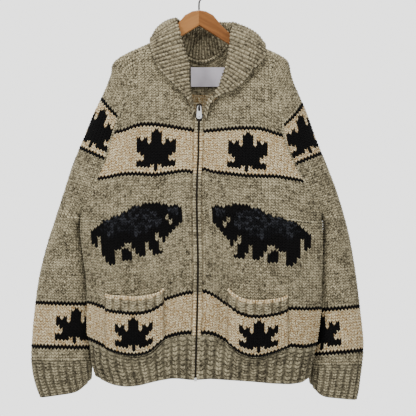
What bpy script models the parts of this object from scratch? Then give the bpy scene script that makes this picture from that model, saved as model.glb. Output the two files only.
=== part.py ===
"""Cowichan zip cardigan hanging on a wooden hanger. Metres, +Z up, the front faces -Y.

The origin is the inside top of the hanger's hook. Tables are in millimetres.
Left and right are the viewer's, seen from the front.
"""

import bpy
import numpy as np

MM = 0.001
WALL = 5.0  # hand-knit body fabric
COLLAR_WALL = 5.6
SEAM = 0.17  # half of the gap between two sewn pieces
RIB_HEIGHT = 2.0
SIDE_SEAM = 93.0  # degrees round the body from the front, so the seam sits on the side fold
FRONT_COLUMNS, BACK_COLUMNS, SLEEVE_COLUMNS = 14, 24, 15
GARTER_RIDGES = 48
UNDERARM = -533.0
HEM_SEAM = -800.0
CUFF_SEAM = {-1: -849.0, 1: -858.0}
CUFF_END = {-1: (-930.0, 31.0, 13.0), 1: (-936.0, 33.0, 0.0)}  # lowest, rise inside, rise outside

# Body tube: height, left fold, right fold, depth in front, depth behind, middle
TORSO = np.array([
    (-112, -71, 79, 11, 11, 0),
    (-130, -89, 98, 19, 17, 0),
    (-148, -113, 124, 25, 22, 0),
    (-161, -142, 153, 28, 24.5, 0),
    (-183, -183, 193, 31, 27, 0),
    (-209, -193, 202, 36, 31, 0),
    (-262, -209, 218, 44, 37, 0),
    (-299, -221, 229, 47, 40, -1),
    (-350, -233, 240, 48, 42, -2),
    (-416, -246, 253, 52, 44, -4),
    (-471, -256, 264, 55, 45, -6),
    (-522, -262, 272, 56, 46, -8),
    (-561, -262, 273, 56, 46, -8),
    (-610, -257, 273, 57, 46, -8),
    (-669, -249, 271, 57, 47, -8),
    (-717, -247, 270, 57, 47, -8),
    (-790, -246, 263, 57, 47, -8),
    (-823, -239, 256, 56, 46, -8),
    (-856, -235, 248, 54, 46, -8),
    (-876, -229, 245, 53, 46, -8),
    (-907, -216, 238, 52, 46, -8),
], float)

# Shoulders and sleeves seen from the front: height, outer edge left, outer edge right
OUTLINE = np.array([
    (-112, -69, 77),
    (-130, -88, 97),
    (-148, -113, 126),
    (-161, -142, 153),
    (-172, -165, 176),
    (-183, -182, 193),
    (-194, -191, 199),
    (-209, -193, 202),
    (-229, -199, 207),
    (-262, -213, 221),
    (-299, -231, 237),
    (-350, -252, 255),
    (-416, -279, 282),
    (-471, -297, 303),
    (-533, -317, 322),
    (-572, -330, 332),
    (-614, -342, 340),
    (-665, -354, 348),
    (-713, -361, 354),
    (-757, -366, 359),
    (-810, -370, 364),
    (-849, -371, 362),
    (-885, -366, 357),
    (-915, -357, 353),
    (-940, -346, 347),
], float)

# Sleeve sections: height, half width left, half width right, half depth, middle left, middle right
SLEEVE = np.array([
    (-112, 31, 31, 12, 0, 0),
    (-130, 42, 42, 18, 0, 0),
    (-148, 51, 51, 24, 0, 0),
    (-183, 66, 66, 32, 0, 0),
    (-229, 79, 79, 37, 0, 0),
    (-299, 90, 90, 41, 1, 1),
    (-416, 73, 73, 39, 4, 4),
    (-471, 54, 56, 37, 6, 6),
    (-504, 38, 39, 36, 8, 8),
    (-522, 30, 30, 36, 10, 10),
    (-533, 27.5, 25, 36, 12, 12),
    (-550, 29.5, 26, 36, 14, 15),
    (-572, 34, 29.5, 36, 16, 18),
    (-614, 45.5, 37, 35, 19, 23),
    (-665, 55, 44, 34, 20, 27),
    (-713, 60.5, 48.5, 33, 20, 28),
    (-757, 64, 52.5, 32, 20, 28),
    (-819, 67, 58.5, 30, 19, 25),
    (-849, 67, 59, 27, 17, 22),
    (-885, 64, 56.5, 25, 15, 19),
    (-915, 57, 53, 23, 14, 17),
    (-940, 50, 49, 22, 13, 16),
], float)

# Raglan seams as angles round the body: height, front left, front right, back
RAGLAN = np.array([
    (-119, 61, 61, 124),
    (-137, 63, 65, 122),
    (-159, 57, 66, 128),
    (-181, 48, 56, 136),
    (-203, 47, 51, 137),
    (-238, 50, 52, 134),
    (-273, 51, 52, 133),
    (-313, 53, 52, 131),
    (-361, 56, 51, 128),
    (-401, 58, 55, 124),
    (-445, 64, 62, 119),
    (-482, 71, 71, 112),
    (-504, 79, 79, 105),
    (-517, 85, 85, 99),
    (-525, 89, 89, 96),
    (-533, 93, 93, 93),
], float)

# Neck edge of the fronts: height, left, right
NECK = np.array([
    (-119, -72, 77),
    (-130, -73, 81),
    (-150, -61, 81.5),
    (-170, -47.5, 78.5),
    (-198, -37.5, 71.5),
    (-228, -36, 61.5),
    (-246, -34, 56),
    (-265, -29, 43),
    (-284, -24.5, 27.5),
    (-306, -18.5, 26),
    (-322, -7.5, 11.5),
    (-340, -4.2, 3.0),
], float)

# Zip line: height, middle
ZIP = np.array([
    (-270, 0.6), (-316, 0.2), (-347, -0.7), (-397, -1.5), (-448, -4.0), (-493, -4.8), (-559, -3.7),
    (-625, -2.2), (-713, -3.3), (-801, -5.5), (-891, -7.7), (-910, -7.9),
], float)
ZIP_HALF = 3.3

# Lower edges of the front: across, where the rib starts / where it ends
HEM_TOP = np.array([
    (-253, -801), (-227, -812), (-196, -827), (-152, -838), (-108, -830), (-79, -805), (-53, -795),
    (0, -791), (33, -794), (59, -808), (90, -832), (128, -841), (165, -832), (200, -820), (233, -822),
    (264, -816),
], float)
HEM_END = np.array([
    (-240, -872), (-227, -884), (-218, -891), (-202, -899), (-175, -904), (-140, -902), (-108, -895),
    (-84, -890), (-55, -886), (-8, -889), (28, -887), (62, -889), (118, -893), (178, -898),
    (216, -898), (236, -893), (250, -880),
], float)

# Large folds: side (-1 front, 1 back), across at top, across at bottom, top, bottom, half width, height
FOLDS = (
    (-1, -62, -66, -640, -850, 15, -6.0),
    (-1, -86, -92, -620, -700, 12, 3.0),
    (-1, 56, 52, -620, -850, 14, -6.0),
    (-1, 207, 217, -560, -860, 20, 5.0),
    (-1, 172, 178, -600, -690, 14, -3.0),
    (-1, -196, -212, -560, -860, 18, 4.0),
    (-1, -120, -190, -230, -480, 26, 3.5),
    (-1, 132, 205, -240, -480, 26, 3.5),
    (-1, -96, -150, -250, -470, 18, -3.0),
    (-1, 108, 166, -250, -470, 18, -3.0),
    (-1, -30, -34, -430, -860, 22, 3.0),
    (-1, 26, 22, -430, -860, 22, 3.0),
    (1, -150, -165, -330, -905, 30, 6.0),
    (1, -62, -60, -420, -905, 26, -5.0),
    (1, 20, 34, -330, -905, 30, 6.0),
    (1, 104, 118, -420, -905, 26, -5.0),
    (1, 182, 196, -380, -905, 26, 5.0),
)

# Sleeve creases: side, height at the outer edge, drop across, half width, depth
CREASES = (
    (-1, -430, -60, 26, -3.0), (-1, -590, 40, 24, 3.0), (-1, -640, 50, 16, -3.5),
    (-1, -700, 30, 22, 2.5), (-1, -800, 24, 18, 3.0),
    (1, -450, -60, 26, -3.0), (1, -600, 44, 22, 3.0), (1, -655, 52, 16, -3.5),
    (1, -720, 36, 22, 2.5), (1, -812, 24, 18, 3.0),
)

# Shawl collar stations from the left end round the neck to the right end.
# side (-1 lies on the front, 0 free), edge x z y, roll x z y, seam x z y, swell of the leaf.
# On side -1 the y columns are distances outwards from the front's own surface.
COLLAR = np.array([
    (-1, -14, -311, 6.6, -9.0, -298, 3.0, -12.3, -306, -5.0, 0),
    (-1, -22, -279, 6.9, -15.0, -269, 3.2, -19.0, -277, -5.0, 0.5),
    (-1, -39.5, -256, 7.2, -18.4, -250, 3.2, -25.0, -253, -5.0, 1.5),
    (-1, -60, -235, 7.6, -20.2, -226, 3.4, -28.0, -229, -5.0, 3),
    (-1, -82, -213, 7.8, -19.8, -198, 3.6, -29.5, -201, -5.0, 4),
    (-1, -97, -190, 8.0, -27.0, -170, 3.8, -38.5, -173, -5.0, 5),
    (-1, -105.5, -167, 8.6, -35.0, -144, 5.0, -53, -152, -5.0, 6),
    (0, -110, -149, -21, -42, -116, -22, -67, -131, -12, 7),
    (0, -108, -136, 6, -49, -91, 2, -72, -110, 3, 9),
    (0, -94, -158, 33, -40, -94, 24, -62, -140, 15.5, 5),
    (0, -58, -190, 42, -20, -97, 33, -33, -170, 21.5, 3),
    (0, 6, -201, 44, 5, -98, 35, 6, -183.6, 22.3, 3),
    (0, 72, -190, 42, 38, -97, 33, 44, -168, 21.5, 3),
    (0, 115, -162, 33, 63, -98, 24, 68, -140, 15.5, 5),
    (0, 144, -146, 6, 76, -101, 2, 77, -113, 3, 9),
    (0, 149, -163, -22, 69.5, -122, -22, 76, -134, -12, 7),
    (-1, 144, -183, 8.6, 66.5, -148, 5.0, 74, -154, -5.0, 6),
    (-1, 124, -203, 8.0, 62, -172, 3.8, 70.5, -177, -5.0, 5),
    (-1, 103, -229, 7.8, 56.5, -199, 3.6, 63, -204, -5.0, 4),
    (-1, 80, -250, 7.6, 47.5, -224, 3.4, 54, -229, -5.0, 3),
    (-1, 57, -259, 7.4, 41.5, -242, 3.2, 47.5, -246, -5.0, 1.5),
    (-1, 37, -270, 7.2, 28.5, -260, 3.2, 34, -265, -5.0, 1),
    (-1, 24, -287, 6.9, 15.5, -277, 3.2, 19.5, -284, -5.0, 0.5),
    (-1, 16.5, -318, 6.6, 10.5, -304, 3.0, 14.0, -311, -5.0, 0),
], float)
ROLL = 7.6

# Patch pockets: left edge, right edge, top at left, top at middle, top at right
POCKETS = {"left": (-206, -78, -702, -708, -688), "right": (64, 196, -688, -716, -704)}
POCKET_RIBS = 7

# Hanger arm: out from the middle, top, bottom, half thickness
ARM = np.array([
    (0.2, -73, -108, 6), (8, -74.5, -112.5, 6), (15, -75.5, -117, 6), (31, -84, -127, 6.2),
    (42, -97, -134, 6.0), (51, -108.5, -140, 5.0), (68, -124.5, -150, 5.0), (92, -149, -168, 5.0),
    (114, -165, -182, 6.5), (150, -182, -199, 8.0), (166, -191, -206, 8.0), (174, -201, -212, 6),
], float)
HOOK = np.array([
    (0, -72.6), (0, -58), (2.4, -51), (11, -44.5), (20, -35), (24, -22), (21, -8.5), (12, -0.6),
    (0, 2), (-12, -1), (-20.5, -9.5), (-24, -21),
], float)
WIRE = 2.0

for item in list(bpy.data.objects):
    bpy.data.objects.remove(item, do_unlink=True)


def plain(name, colour, rough, metallic=0.0):
    m = bpy.data.materials.new(name)
    m.use_nodes = True
    shader = m.node_tree.nodes["Principled BSDF"]
    shader.inputs["Base Color"].default_value = (*colour, 1)
    shader.inputs["Roughness"].default_value = rough
    shader.inputs["Metallic"].default_value = metallic
    m.diffuse_color = (*colour, 1)
    return m


GREY = plain("grey_wool", (0.30, 0.275, 0.22), 0.95)
DARKER = plain("grey_rib_wool", (0.25, 0.225, 0.18), 0.95)
TAPE = plain("zip_tape", (0.05, 0.045, 0.045), 0.9)
BLACK_METAL = plain("dark_metal", (0.05, 0.05, 0.055), 0.4, 0.9)
SILVER = plain("silver_metal", (0.72, 0.72, 0.70), 0.28, 1.0)
WOOD = plain("wood", (0.50, 0.25, 0.10), 0.45)
LABEL = plain("label_cloth", (0.62, 0.60, 0.62), 0.8)


def smooth(x, xs, ys):
    """A smooth curve through the points of a table, flat beyond its ends."""
    x = np.clip(x, min(xs[0], xs[-1]), max(xs[0], xs[-1]))
    if xs[0] > xs[-1]:
        xs, ys = xs[::-1], ys[::-1]
    slope = np.gradient(ys, xs)
    i = np.clip(np.searchsorted(xs, x, side="right") - 1, 0, len(xs) - 2)
    h = xs[i + 1] - xs[i]
    t = (x - xs[i]) / h
    a = (1 + 2 * t) * (1 - t) ** 2 * ys[i] + t * (1 - t) ** 2 * h * slope[i]
    return a + t * t * (3 - 2 * t) * ys[i + 1] + t * t * (t - 1) * h * slope[i + 1]


def column(table, k, z):
    return smooth(z, table[:, 0], table[:, k])


def ease(x):
    x = np.clip(x, 0, 1)
    return x * x * (3 - 2 * x)


def unit(v):
    return v / np.maximum(np.linalg.norm(v, axis=-1, keepdims=True), 1e-9)


def folds(side, x, z):
    total = 0.0
    for face, x0, x1, top, bottom, width, height in FOLDS:
        if face != side:
            continue
        t = (top - z) / (top - bottom)
        middle = x0 + (x1 - x0) * t
        reach = ease(t / 0.25) * (ease((1 - t) / 0.15) if bottom > -880 else 1)
        total = total + height * reach * np.exp(-(((x - middle) / width) ** 2))
    return total


def torso(angle, z):
    """Outside of the body at an angle in degrees from the front (+ is right) and a height."""
    angle, z = np.broadcast_arrays(np.asarray(angle, float), np.asarray(z, float))
    left, right, front, back, middle = (column(TORSO, k, z) for k in range(1, 6))
    a = np.radians(angle)
    x = (left + right) / 2 + (right - left) / 2 * np.sin(a)
    c = np.cos(a)
    near = np.clip(np.abs(c) * 1.4, 0, 1)
    forward = front * np.abs(c) ** 0.92 + folds(-1, x, z) * near
    behind = back * np.abs(c) ** 0.92 + folds(1, x, z) * near
    return np.stack([x, middle - np.where(c > 0, forward, -behind), z], axis=-1)


def angle_at(x, z, behind=False):
    left, right = column(TORSO, 1, z), column(TORSO, 2, z)
    a = np.degrees(np.arcsin(np.clip((2 * x - left - right) / (right - left), -1, 1)))
    return np.where(a < 0, -180 - a, 180 - a) if behind else a


def torso_normal(angle, z):
    across = torso(angle + 0.6, z) - torso(angle - 0.6, z)
    up = torso(angle, z + 2) - torso(angle, z - 2)
    return unit(np.cross(across, up))


def even(start, end, z, count):
    """Angles that divide a row of the body into equal lengths."""
    dense = np.linspace(start, end, 161)
    p = torso(dense, z)
    run = np.concatenate([[0], np.cumsum(np.linalg.norm(np.diff(p, axis=0), axis=1))])
    return np.interp(np.linspace(0, run[-1], count + 1), run, dense)


def hem_line(table, x, behind, ends):
    front = smooth(x, table[:, 0], table[:, 1])
    if not behind:
        return front
    flat = np.interp(x, ends, smooth(np.array(ends), table[:, 0], table[:, 1]))
    return flat - 5 * np.sin(np.pi * np.clip((x - ends[0]) / (ends[1] - ends[0]), 0, 1))


SEAM_ROWS = np.array([-124, -130, -143, -158, -178, -204, -240, -285, -318, -350, -400, -450, -490,
                      -514, -525, -533.0])
LOW_ROWS = np.array([-555, -595, -640, -680, -720, -760, -800.0])


def neck_dip(x):
    return 56 * np.clip(1 - ((x - 4) / 74) ** 2, 0, 1) ** 0.8


def panel(kind):
    """Angles and heights of a front (-1 or 1) or of the back (0), row by row."""
    angles, heights = [], []
    for z in np.concatenate([SEAM_ROWS, LOW_ROWS]):
        above = z >= UNDERARM
        reach = ease((z + 570) / (HEM_SEAM + 570)) if z < -570 else 0
        if kind:
            edge = column(RAGLAN, 1 if kind < 0 else 2, z) if above else SIDE_SEAM
            line = column(ZIP, 1, z) + kind * (ZIP_HALF + 0.2)
            x_in = column(NECK, 1 if kind < 0 else 2, z) if z > -340 else line
            a = even(float(angle_at(x_in, z)), kind * float(edge), z, FRONT_COLUMNS)
        else:
            edge = float(column(RAGLAN, 3, z)) if above else SIDE_SEAM
            a = even(-edge, -(360 - edge), z, BACK_COLUMNS)
        h = np.full(len(a), z)
        x = torso(a, z)[:, 0]
        if reach > 0:
            ends = torso(np.array([-SIDE_SEAM, SIDE_SEAM]), HEM_SEAM)[:, 0]
            h = h + (hem_line(HEM_TOP, x, kind == 0, ends) - HEM_SEAM) * reach
        if kind == 0 and z > -330:
            h = h - neck_dip(x) * ease((z + 330) / 190)
            inner = slice(1, -1)
            a[inner] = np.where(x[inner] < 0, 0, 0) + angle_at(x[inner], h[inner], True)
            a = np.where(a > 0, a - 360, a)
        angles.append(a)
        heights.append(h)
    return np.array(angles), np.array(heights)


def sleeve_row(side, z, turn=None):
    """Points round a sleeve or its cap from the front seam round the outside to the back seam."""
    t = np.linspace(0, 1, 181) if turn is None else turn
    z = np.broadcast_to(z, t.shape).astype(float)
    half, deep, middle = (column(SLEEVE, k, z) for k in ((1, 3, 4) if side < 0 else (2, 3, 5)))
    out = column(OUTLINE, 1 if side < 0 else 2, z)
    centre = out - side * half

    def oval(a):
        grown = 0.0
        for face, level, drop, width, depth in CREASES:
            if face == side:
                at = level + drop * (0.5 + 0.5 * np.cos(a))
                grown = grown + depth * np.exp(-(((z - at) / width) ** 2)) * np.sin(a) ** 2
        return np.stack([centre - side * half * np.cos(a), middle - (deep + grown) * np.sin(a), z], -1)

    if z[0] < UNDERARM - 0.1:
        return oval(2 * np.pi * t)
    front = torso(side * column(RAGLAN, 1 if side < 0 else 2, z[0]), z[0])
    back = torso(side * column(RAGLAN, 3, z[0]), z[0])
    first = np.arccos(np.clip(side * (centre[0] - front[0]) / half[0], -1, 1))
    last = 2 * np.pi - np.arccos(np.clip(side * (centre[0] - back[0]) / half[0], -1, 1))
    p = oval(first + (last - first) * t)
    near_front = np.clip(1 - t / 0.42, 0, 1) ** 2
    near_back = np.clip(1 - (1 - t) / 0.42, 0, 1) ** 2
    return p + (front - p[0]) * near_front[:, None] + (back - p[-1]) * near_back[:, None]


def spread(points, count):
    run = np.concatenate([[0], np.cumsum(np.linalg.norm(np.diff(points, axis=0), axis=1))])
    at = np.linspace(0, run[-1], count + 1)
    return np.stack([np.interp(at, run, points[:, k]) for k in range(3)], -1)


def grid_normal(p, sign):
    across = np.gradient(p, axis=1)
    down = np.gradient(p, axis=0)
    return sign * unit(np.cross(across, down))


def subdivide(values, parts):
    """Points added along straight lines between the values of one row."""
    at = np.linspace(0, len(values) - 1, (len(values) - 1) * parts + 1)
    return np.stack([np.interp(at, range(len(values)), values[:, k]) for k in range(values.shape[1])], -1)


def make(name, vertices, faces, material, shade=True):
    mesh = bpy.data.meshes.new(name)
    mesh.from_pydata([tuple(v) for v in np.asarray(vertices) * MM], [], faces)
    mesh.update()
    obj = bpy.data.objects.new(name, mesh)
    bpy.context.scene.collection.objects.link(obj)
    mesh.materials.append(material)
    for polygon in mesh.polygons:
        polygon.use_smooth = shade
    return obj


def cloth(name, base, normal, material, raised=0.0, wall=WALL, trim=(1, 1, 1, 1), offset=0.0):
    """A closed wall: its outer points are base + raised, its plain inside is wall under base.

    trim takes half of the seam gap off the first row, last row, first column and last column.
    """
    raised = np.broadcast_to(raised, base.shape[:2])[..., None]
    faces_of = []
    for p in (base + normal * (raised + offset), base - normal * (wall - offset)):
        p = p.copy()
        for flag, here, next_ in ((trim[0], (0,), (1,)), (trim[1], (-1,), (-2,)),
                                  (trim[2], (slice(None), 0), (slice(None), 1)),
                                  (trim[3], (slice(None), -1), (slice(None), -2))):
            if flag:
                p[here] = p[here] + unit(p[next_] - p[here]) * SEAM * flag
        faces_of.append(p)
    rows, cols = base.shape[:2]
    count = rows * cols
    index = np.arange(count).reshape(rows, cols)
    a, b, c, d = index[:-1, :-1], index[:-1, 1:], index[1:, 1:], index[1:, :-1]
    quads = np.stack([a, b, c, d], -1).reshape(-1, 4)
    middle = (rows // 2, cols // 2)
    p = faces_of[0]
    turn = np.cross(p[middle[0], middle[1]] - p[middle[0] - 1, middle[1] - 1],
                    p[middle[0], middle[1] - 1] - p[middle[0] - 1, middle[1]])
    if np.dot(turn, normal[middle]) < 0:
        quads = quads[:, ::-1]
    faces = [tuple(map(int, q)) for q in quads]
    faces += [tuple(int(v) + count for v in q[::-1]) for q in quads]
    rim = np.concatenate([index[0, :-1], index[:-1, -1], index[-1, :0:-1], index[:0:-1, 0]])
    following = np.roll(rim, -1)
    forward = {(f[k], f[(k + 1) % 4]) for f in faces[: len(quads)] for k in range(4)}
    for u, v in zip(rim.tolist(), following.tolist()):
        if (u, v) in forward:
            u, v = v, u
        # The two pieces of a seam split its mitre along the same diagonal.
        if faces_of[0].reshape(-1, 3)[u, 2] > faces_of[0].reshape(-1, 3)[v, 2]:
            faces += [(u, v, v + count), (u, v + count, u + count)]
        else:
            faces += [(u, v, u + count), (v, v + count, u + count)]
    return make(name, np.concatenate([faces_of[0].reshape(-1, 3), faces_of[1].reshape(-1, 3)]), faces, material)


# Body panels and sleeves. Sewn edges share points and directions, so the walls meet in a mitre.
grids = {}
for kind, name in ((-1, "front_left"), (1, "front_right"), (0, "back")):
    a, z = panel(kind)
    grids[name] = [torso(a, z), torso_normal(a, z), a, z]

seam_count = len(SEAM_ROWS)
for side, name in ((-1, "left"), (1, "right")):
    levels = np.concatenate([SEAM_ROWS, [-545, -562, -584], np.linspace(-612, CUFF_SEAM[side], 9)])
    p = np.array([spread(sleeve_row(side, z), SLEEVE_COLUMNS) for z in levels])
    n = grid_normal(p, 1)
    outward = p[-3, :, :] - p[-3].mean(axis=0)
    if (outward * n[-3]).sum() < 0:
        n = -n
    under = slice(seam_count, None)
    n[under, 0] = n[under, -1] = unit(n[under, 0] + n[under, -1])
    front, back = grids["front_" + name], grids["back"]
    back_column = 0 if side < 0 else -1
    top = slice(0, seam_count)
    # Where the body and the sleeve part, the outside of the cloth faces down.
    down = np.zeros((seam_count, 3))
    down[-4:, 2] = (-0.15, -0.5, -1.2, -4.0)
    for grid, theirs, mine in ((front, -1, 0), (back, back_column, -1)):
        shared = unit(grid[1][top, theirs] + n[top, mine] + down)
        grid[1][top, theirs] = n[top, mine] = shared
        p[top, mine] = grid[0][top, theirs]
    crotch = unit(front[1][seam_count - 1, -1] + back[1][seam_count - 1, back_column])
    front[1][seam_count - 1, -1] = back[1][seam_count - 1, back_column] = crotch
    n[seam_count - 1, 0] = n[seam_count - 1, -1] = crotch
    grids["sleeve_" + name] = [p, n]

for name in ("front_left", "front_right", "back", "sleeve_left", "sleeve_right"):
    p, n = grids[name][:2]
    edge = np.zeros(p.shape[:2])
    if name.startswith("front"):
        edge[:, 0] = 0.6
        edge[:, 1] = 0.9
    first = 0 if name.startswith("sleeve") else 1
    cloth(name, p[first:], n[first:], GREY, raised=edge[first:])

# Ribs: one low, two high points to each rib, over a plain inside.
RIB = np.array([0.0, 1.0, 1.0])


def ribbed(name, top, top_normal, lower, lower_normal, levels, material):
    base = np.concatenate([top[None], lower])
    normal = np.concatenate([top_normal[None], lower_normal])
    height = np.resize(RIB, base.shape[1]) * RIB_HEIGHT
    cloth(name, base, normal, material, raised=np.outer(levels, height), trim=(1.8, 1, 1, 1))


for name, behind in (("front_left", False), ("front_right", False), ("back", True)):
    p, n, a, z = grids[name]
    fine = subdivide(np.stack([a[-1], z[-1]], -1), 3)
    ends = torso(np.array([-SIDE_SEAM, SIDE_SEAM]), -880)[:, 0]
    bottom_x = torso(fine[:, 0], np.full(len(fine), -880.0))[:, 0]
    bottom = hem_line(HEM_END, bottom_x, behind, ends)
    rows, normals = [], []
    for t in (0.2, 1.0):
        height = fine[:, 1] + (bottom - fine[:, 1]) * t
        angle = fine[:, 0]
        if not behind:
            side = -1 if name.endswith("left") else 1
            at_zip = angle_at(column(ZIP, 1, height[0]) + side * (ZIP_HALF + 0.2), height[0])
            angle = angle + (at_zip - angle[0]) * (1 - np.linspace(0, 1, len(angle)))
        rows.append(torso(angle, height))
        normals.append(torso_normal(angle, height))
    hem = "hem_back" if behind else "hem_" + name
    ribbed(hem, subdivide(p[-1], 3), subdivide(n[-1], 3), np.array(rows), np.array(normals),
           (0.0, 1.0, 1.0), DARKER)

for side, name in ((-1, "left"), (1, "right")):
    p, n = grids["sleeve_" + name]
    low, inside, outside = CUFF_END[side]
    rows = []
    for t in (0.22, 1.0):
        turn = np.linspace(0, 1, 181)
        c = np.cos(2 * np.pi * turn)
        end = low + np.where(c > 0, inside, outside) * c * c
        z = CUFF_SEAM[side] + (end - CUFF_SEAM[side]) * t
        rows.append(spread(sleeve_row(side, z, turn), SLEEVE_COLUMNS * 3))
    whole = np.concatenate([subdivide(p[-1], 3)[None], np.array(rows)])
    normal = grid_normal(whole, 1)
    if ((whole[1] - whole[1].mean(axis=0)) * normal[1]).sum() < 0:
        normal = -normal
    normal[:, 0] = normal[:, -1] = unit(normal[:, 0] + normal[:, -1])
    normal[0] = subdivide(n[-1], 3)
    ribbed("cuff_" + name, whole[0], normal[0], whole[1:], normal[1:], (0.0, 1.0, 1.0), DARKER)

# Collar: a garter strip folded over at its roll, with one ridge to every two rows of points.
def collar_grid(rows):
    k = np.arange(len(COLLAR), dtype=float)
    placed = []
    for first in (1, 4, 7):
        x, z, y = COLLAR[:, first], COLLAR[:, first + 1], COLLAR[:, first + 2]
        lying = torso(angle_at(x, z), z)[:, 1] - y
        placed.append(np.stack([x, np.where(COLLAR[:, 0] < 0, lying, y), z], -1))
    middle = placed[0] * 0.5 + placed[1] * 0.5
    run = np.concatenate([[0], np.cumsum(np.linalg.norm(np.diff(middle, axis=0), axis=1))])
    at = np.interp(np.linspace(0, run[-1], rows), run, k)
    edge, roll, seam = (np.stack([smooth(at, k, q[:, c]) for c in range(3)], -1) for q in placed)
    swell = smooth(at, k, COLLAR[:, 10])[:, None]
    along = unit(unit(edge - roll) + unit(seam - roll))
    out = edge - seam
    out = unit(out - along * (out * along).sum(-1, keepdims=True))
    front = roll + ROLL * (along + out)
    rear = roll + ROLL * (along - out)
    lean = [edge + (front - edge) * t + out * swell * 4 * t * (1 - t) for t in (0.36, 0.72)]
    return np.stack([edge, *lean, front, roll + along * 1.0, rear, seam], axis=1)


grid = collar_grid(2 * GARTER_RIDGES + 1)
normal = grid_normal(grid, 1)
if (normal[len(grid) // 4, 1] * np.array([0, -1, 0])).sum() < 0:
    normal = -normal
ridge = np.tile([0.0, 1.0], GARTER_RIDGES + 1)[: len(grid)] * 1.6
across = np.array([0.6, 1, 1, 1, 1, 0.8, 0.3])
cloth("collar", grid, normal, DARKER, raised=np.outer(ridge, across), wall=COLLAR_WALL)

def front_skin(name, x, z):
    """How far forward the outside of a front reaches at x and z, on its own flat facets."""
    p = grids[name][0]
    a, b, c, d = p[:-1, :-1], p[:-1, 1:], p[1:, 1:], p[1:, :-1]
    corners = np.concatenate([np.stack(t, 2).reshape(-1, 3, 3) for t in ((a, b, c), (a, c, d), (a, b, d), (b, c, d))])
    found = np.empty(len(x))
    for i, (px, pz) in enumerate(zip(x, z)):
        e1, e2 = corners[:, 1] - corners[:, 0], corners[:, 2] - corners[:, 0]
        wx, wz = px - corners[:, 0, 0], pz - corners[:, 0, 2]
        whole = e1[:, 0] * e2[:, 2] - e1[:, 2] * e2[:, 0]
        s, t = (wx * e2[:, 2] - wz * e2[:, 0]) / whole, (e1[:, 0] * wz - e1[:, 2] * wx) / whole
        inside = (s > -1e-6) & (t > -1e-6) & (s + t < 1 + 1e-6)
        found[i] = (corners[:, 0, 1] + s * e1[:, 1] + t * e2[:, 1])[inside].min()
    return found


# Pockets lie on the fronts at their sides and foot, and stand open at the top.
for name, (left, right, top_left, top_mid, top_right) in POCKETS.items():
    u = np.linspace(0, 1, POCKET_RIBS * 3 + 1)
    x = left + (right - left) * u
    top = smooth(u, np.array([0, 0.1, 0.3, 0.5, 0.7, 0.9, 1]), np.array([
        top_left, top_left * 0.5 + top_mid * 0.5, top_mid + 2, top_mid, top_mid + 2,
        top_right * 0.5 + top_mid * 0.5, top_right]))
    bottom = smooth(x, HEM_TOP[:, 0], HEM_TOP[:, 1]) + 3
    base, normal, raised = [], [], []
    for t, rib, open_ in ((0, 0.7, 1.0), (0.06, 1, 1.0), (0.18, 1, 1.0), (0.22, 0, 0.98),
                          (0.5, 0, 0.75), (0.8, 0, 0.4), (1, 0, 0.0)):
        z = top + (bottom - top) * t
        a = angle_at(x, z)
        n = torso_normal(a, z)
        clear = 0.6 + 13 * open_ * np.maximum(np.sin(np.pi * u), 0) ** 0.8
        skin = np.stack([x, front_skin("front_" + name, x, z), z], -1)
        base.append(skin + n * (clear + WALL)[:, None])
        normal.append(n)
        raised.append(np.resize(RIB, len(u)) * rib * RIB_HEIGHT)
    cloth("pocket_" + name, np.array(base), np.array(normal), GREY, raised=np.array(raised))

# Zip tapes lie behind the front edges, the chain fills the space between them.
levels = np.concatenate([np.linspace(-303, -790, 14), [-830, -868, -884]])
for side, name in ((-1, "left"), (1, "right")):
    edge = column(ZIP, 1, levels) + side * 0.3
    out = edge + side * np.interp(levels, [-345, -320], [11.5, 8.5])
    x = np.stack([edge, out], -1)
    z = np.repeat(levels[:, None], 2, axis=1)
    a = angle_at(x, z)
    cloth("zip_tape_" + name, torso(a, z), torso_normal(a, z), TAPE, wall=0.9, trim=(0, 0, 0, 0),
          offset=-(WALL + 0.9))
levels = np.concatenate([np.linspace(-299, -790, 16), [-830, -868, -883]])
x = column(ZIP, 1, levels)[:, None] + np.array([-2.7, 0, 2.7])
z = np.repeat(levels[:, None], 3, axis=1)
a = angle_at(x, z)
cloth("zip_chain", torso(a, z), torso_normal(a, z), BLACK_METAL, wall=3.0, trim=(0, 0, 0, 0), offset=-2.4,
      raised=np.array([0, 0.5, 0]))

# Label inside the back neck
x = np.linspace(-18, 57, 6)[None, :] + np.zeros((4, 1))
z = np.linspace(-198, -241, 4)[:, None] + np.zeros((1, 6))
a = angle_at(x, z, True)
cloth("neck_label", torso(a, z), torso_normal(a, z), LABEL, wall=0.8, trim=(0, 0, 0, 0), offset=-(WALL + 0.6))


def prism(name, outline, near, far, material):
    """A flat outline in X and Z, from y = near (front) to y = far."""
    count = len(outline)
    area = sum(outline[i - 1][0] * outline[i][1] - outline[i][0] * outline[i - 1][1] for i in range(count))
    points = list(outline) if area > 0 else list(outline)[::-1]
    vertices = [(x, near, z) for x, z in points] + [(x, far, z) for x, z in points]
    faces = [tuple(range(count)), tuple(range(2 * count - 1, count - 1, -1))]
    faces += [(i, i + count, (i + 1) % count + count, (i + 1) % count) for i in range(count)]
    return make(name, vertices, faces, material, shade=False)


def join(target, other, operation):
    m = target.modifiers.new("part", "BOOLEAN")
    m.operation, m.solver, m.object = operation, "EXACT", other
    bpy.context.view_layer.objects.active = target
    bpy.ops.object.modifier_apply(modifier=m.name)
    bpy.data.objects.remove(other, do_unlink=True)


def rounded(cx, top, bottom, half_top, half_bottom, steps=5):
    """A tab outline with round ends."""
    points = []
    for k in range(steps + 1):
        t = np.pi * k / steps
        points.append((cx + half_top * np.cos(t), top - half_top * 0.55 + half_top * 0.55 * np.sin(t)))
    for k in range(steps + 1):
        t = np.pi + np.pi * k / steps
        points.append((cx + half_bottom * np.cos(t), bottom + half_bottom * 0.8 + half_bottom * 0.8 * np.sin(t)))
    return points


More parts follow.
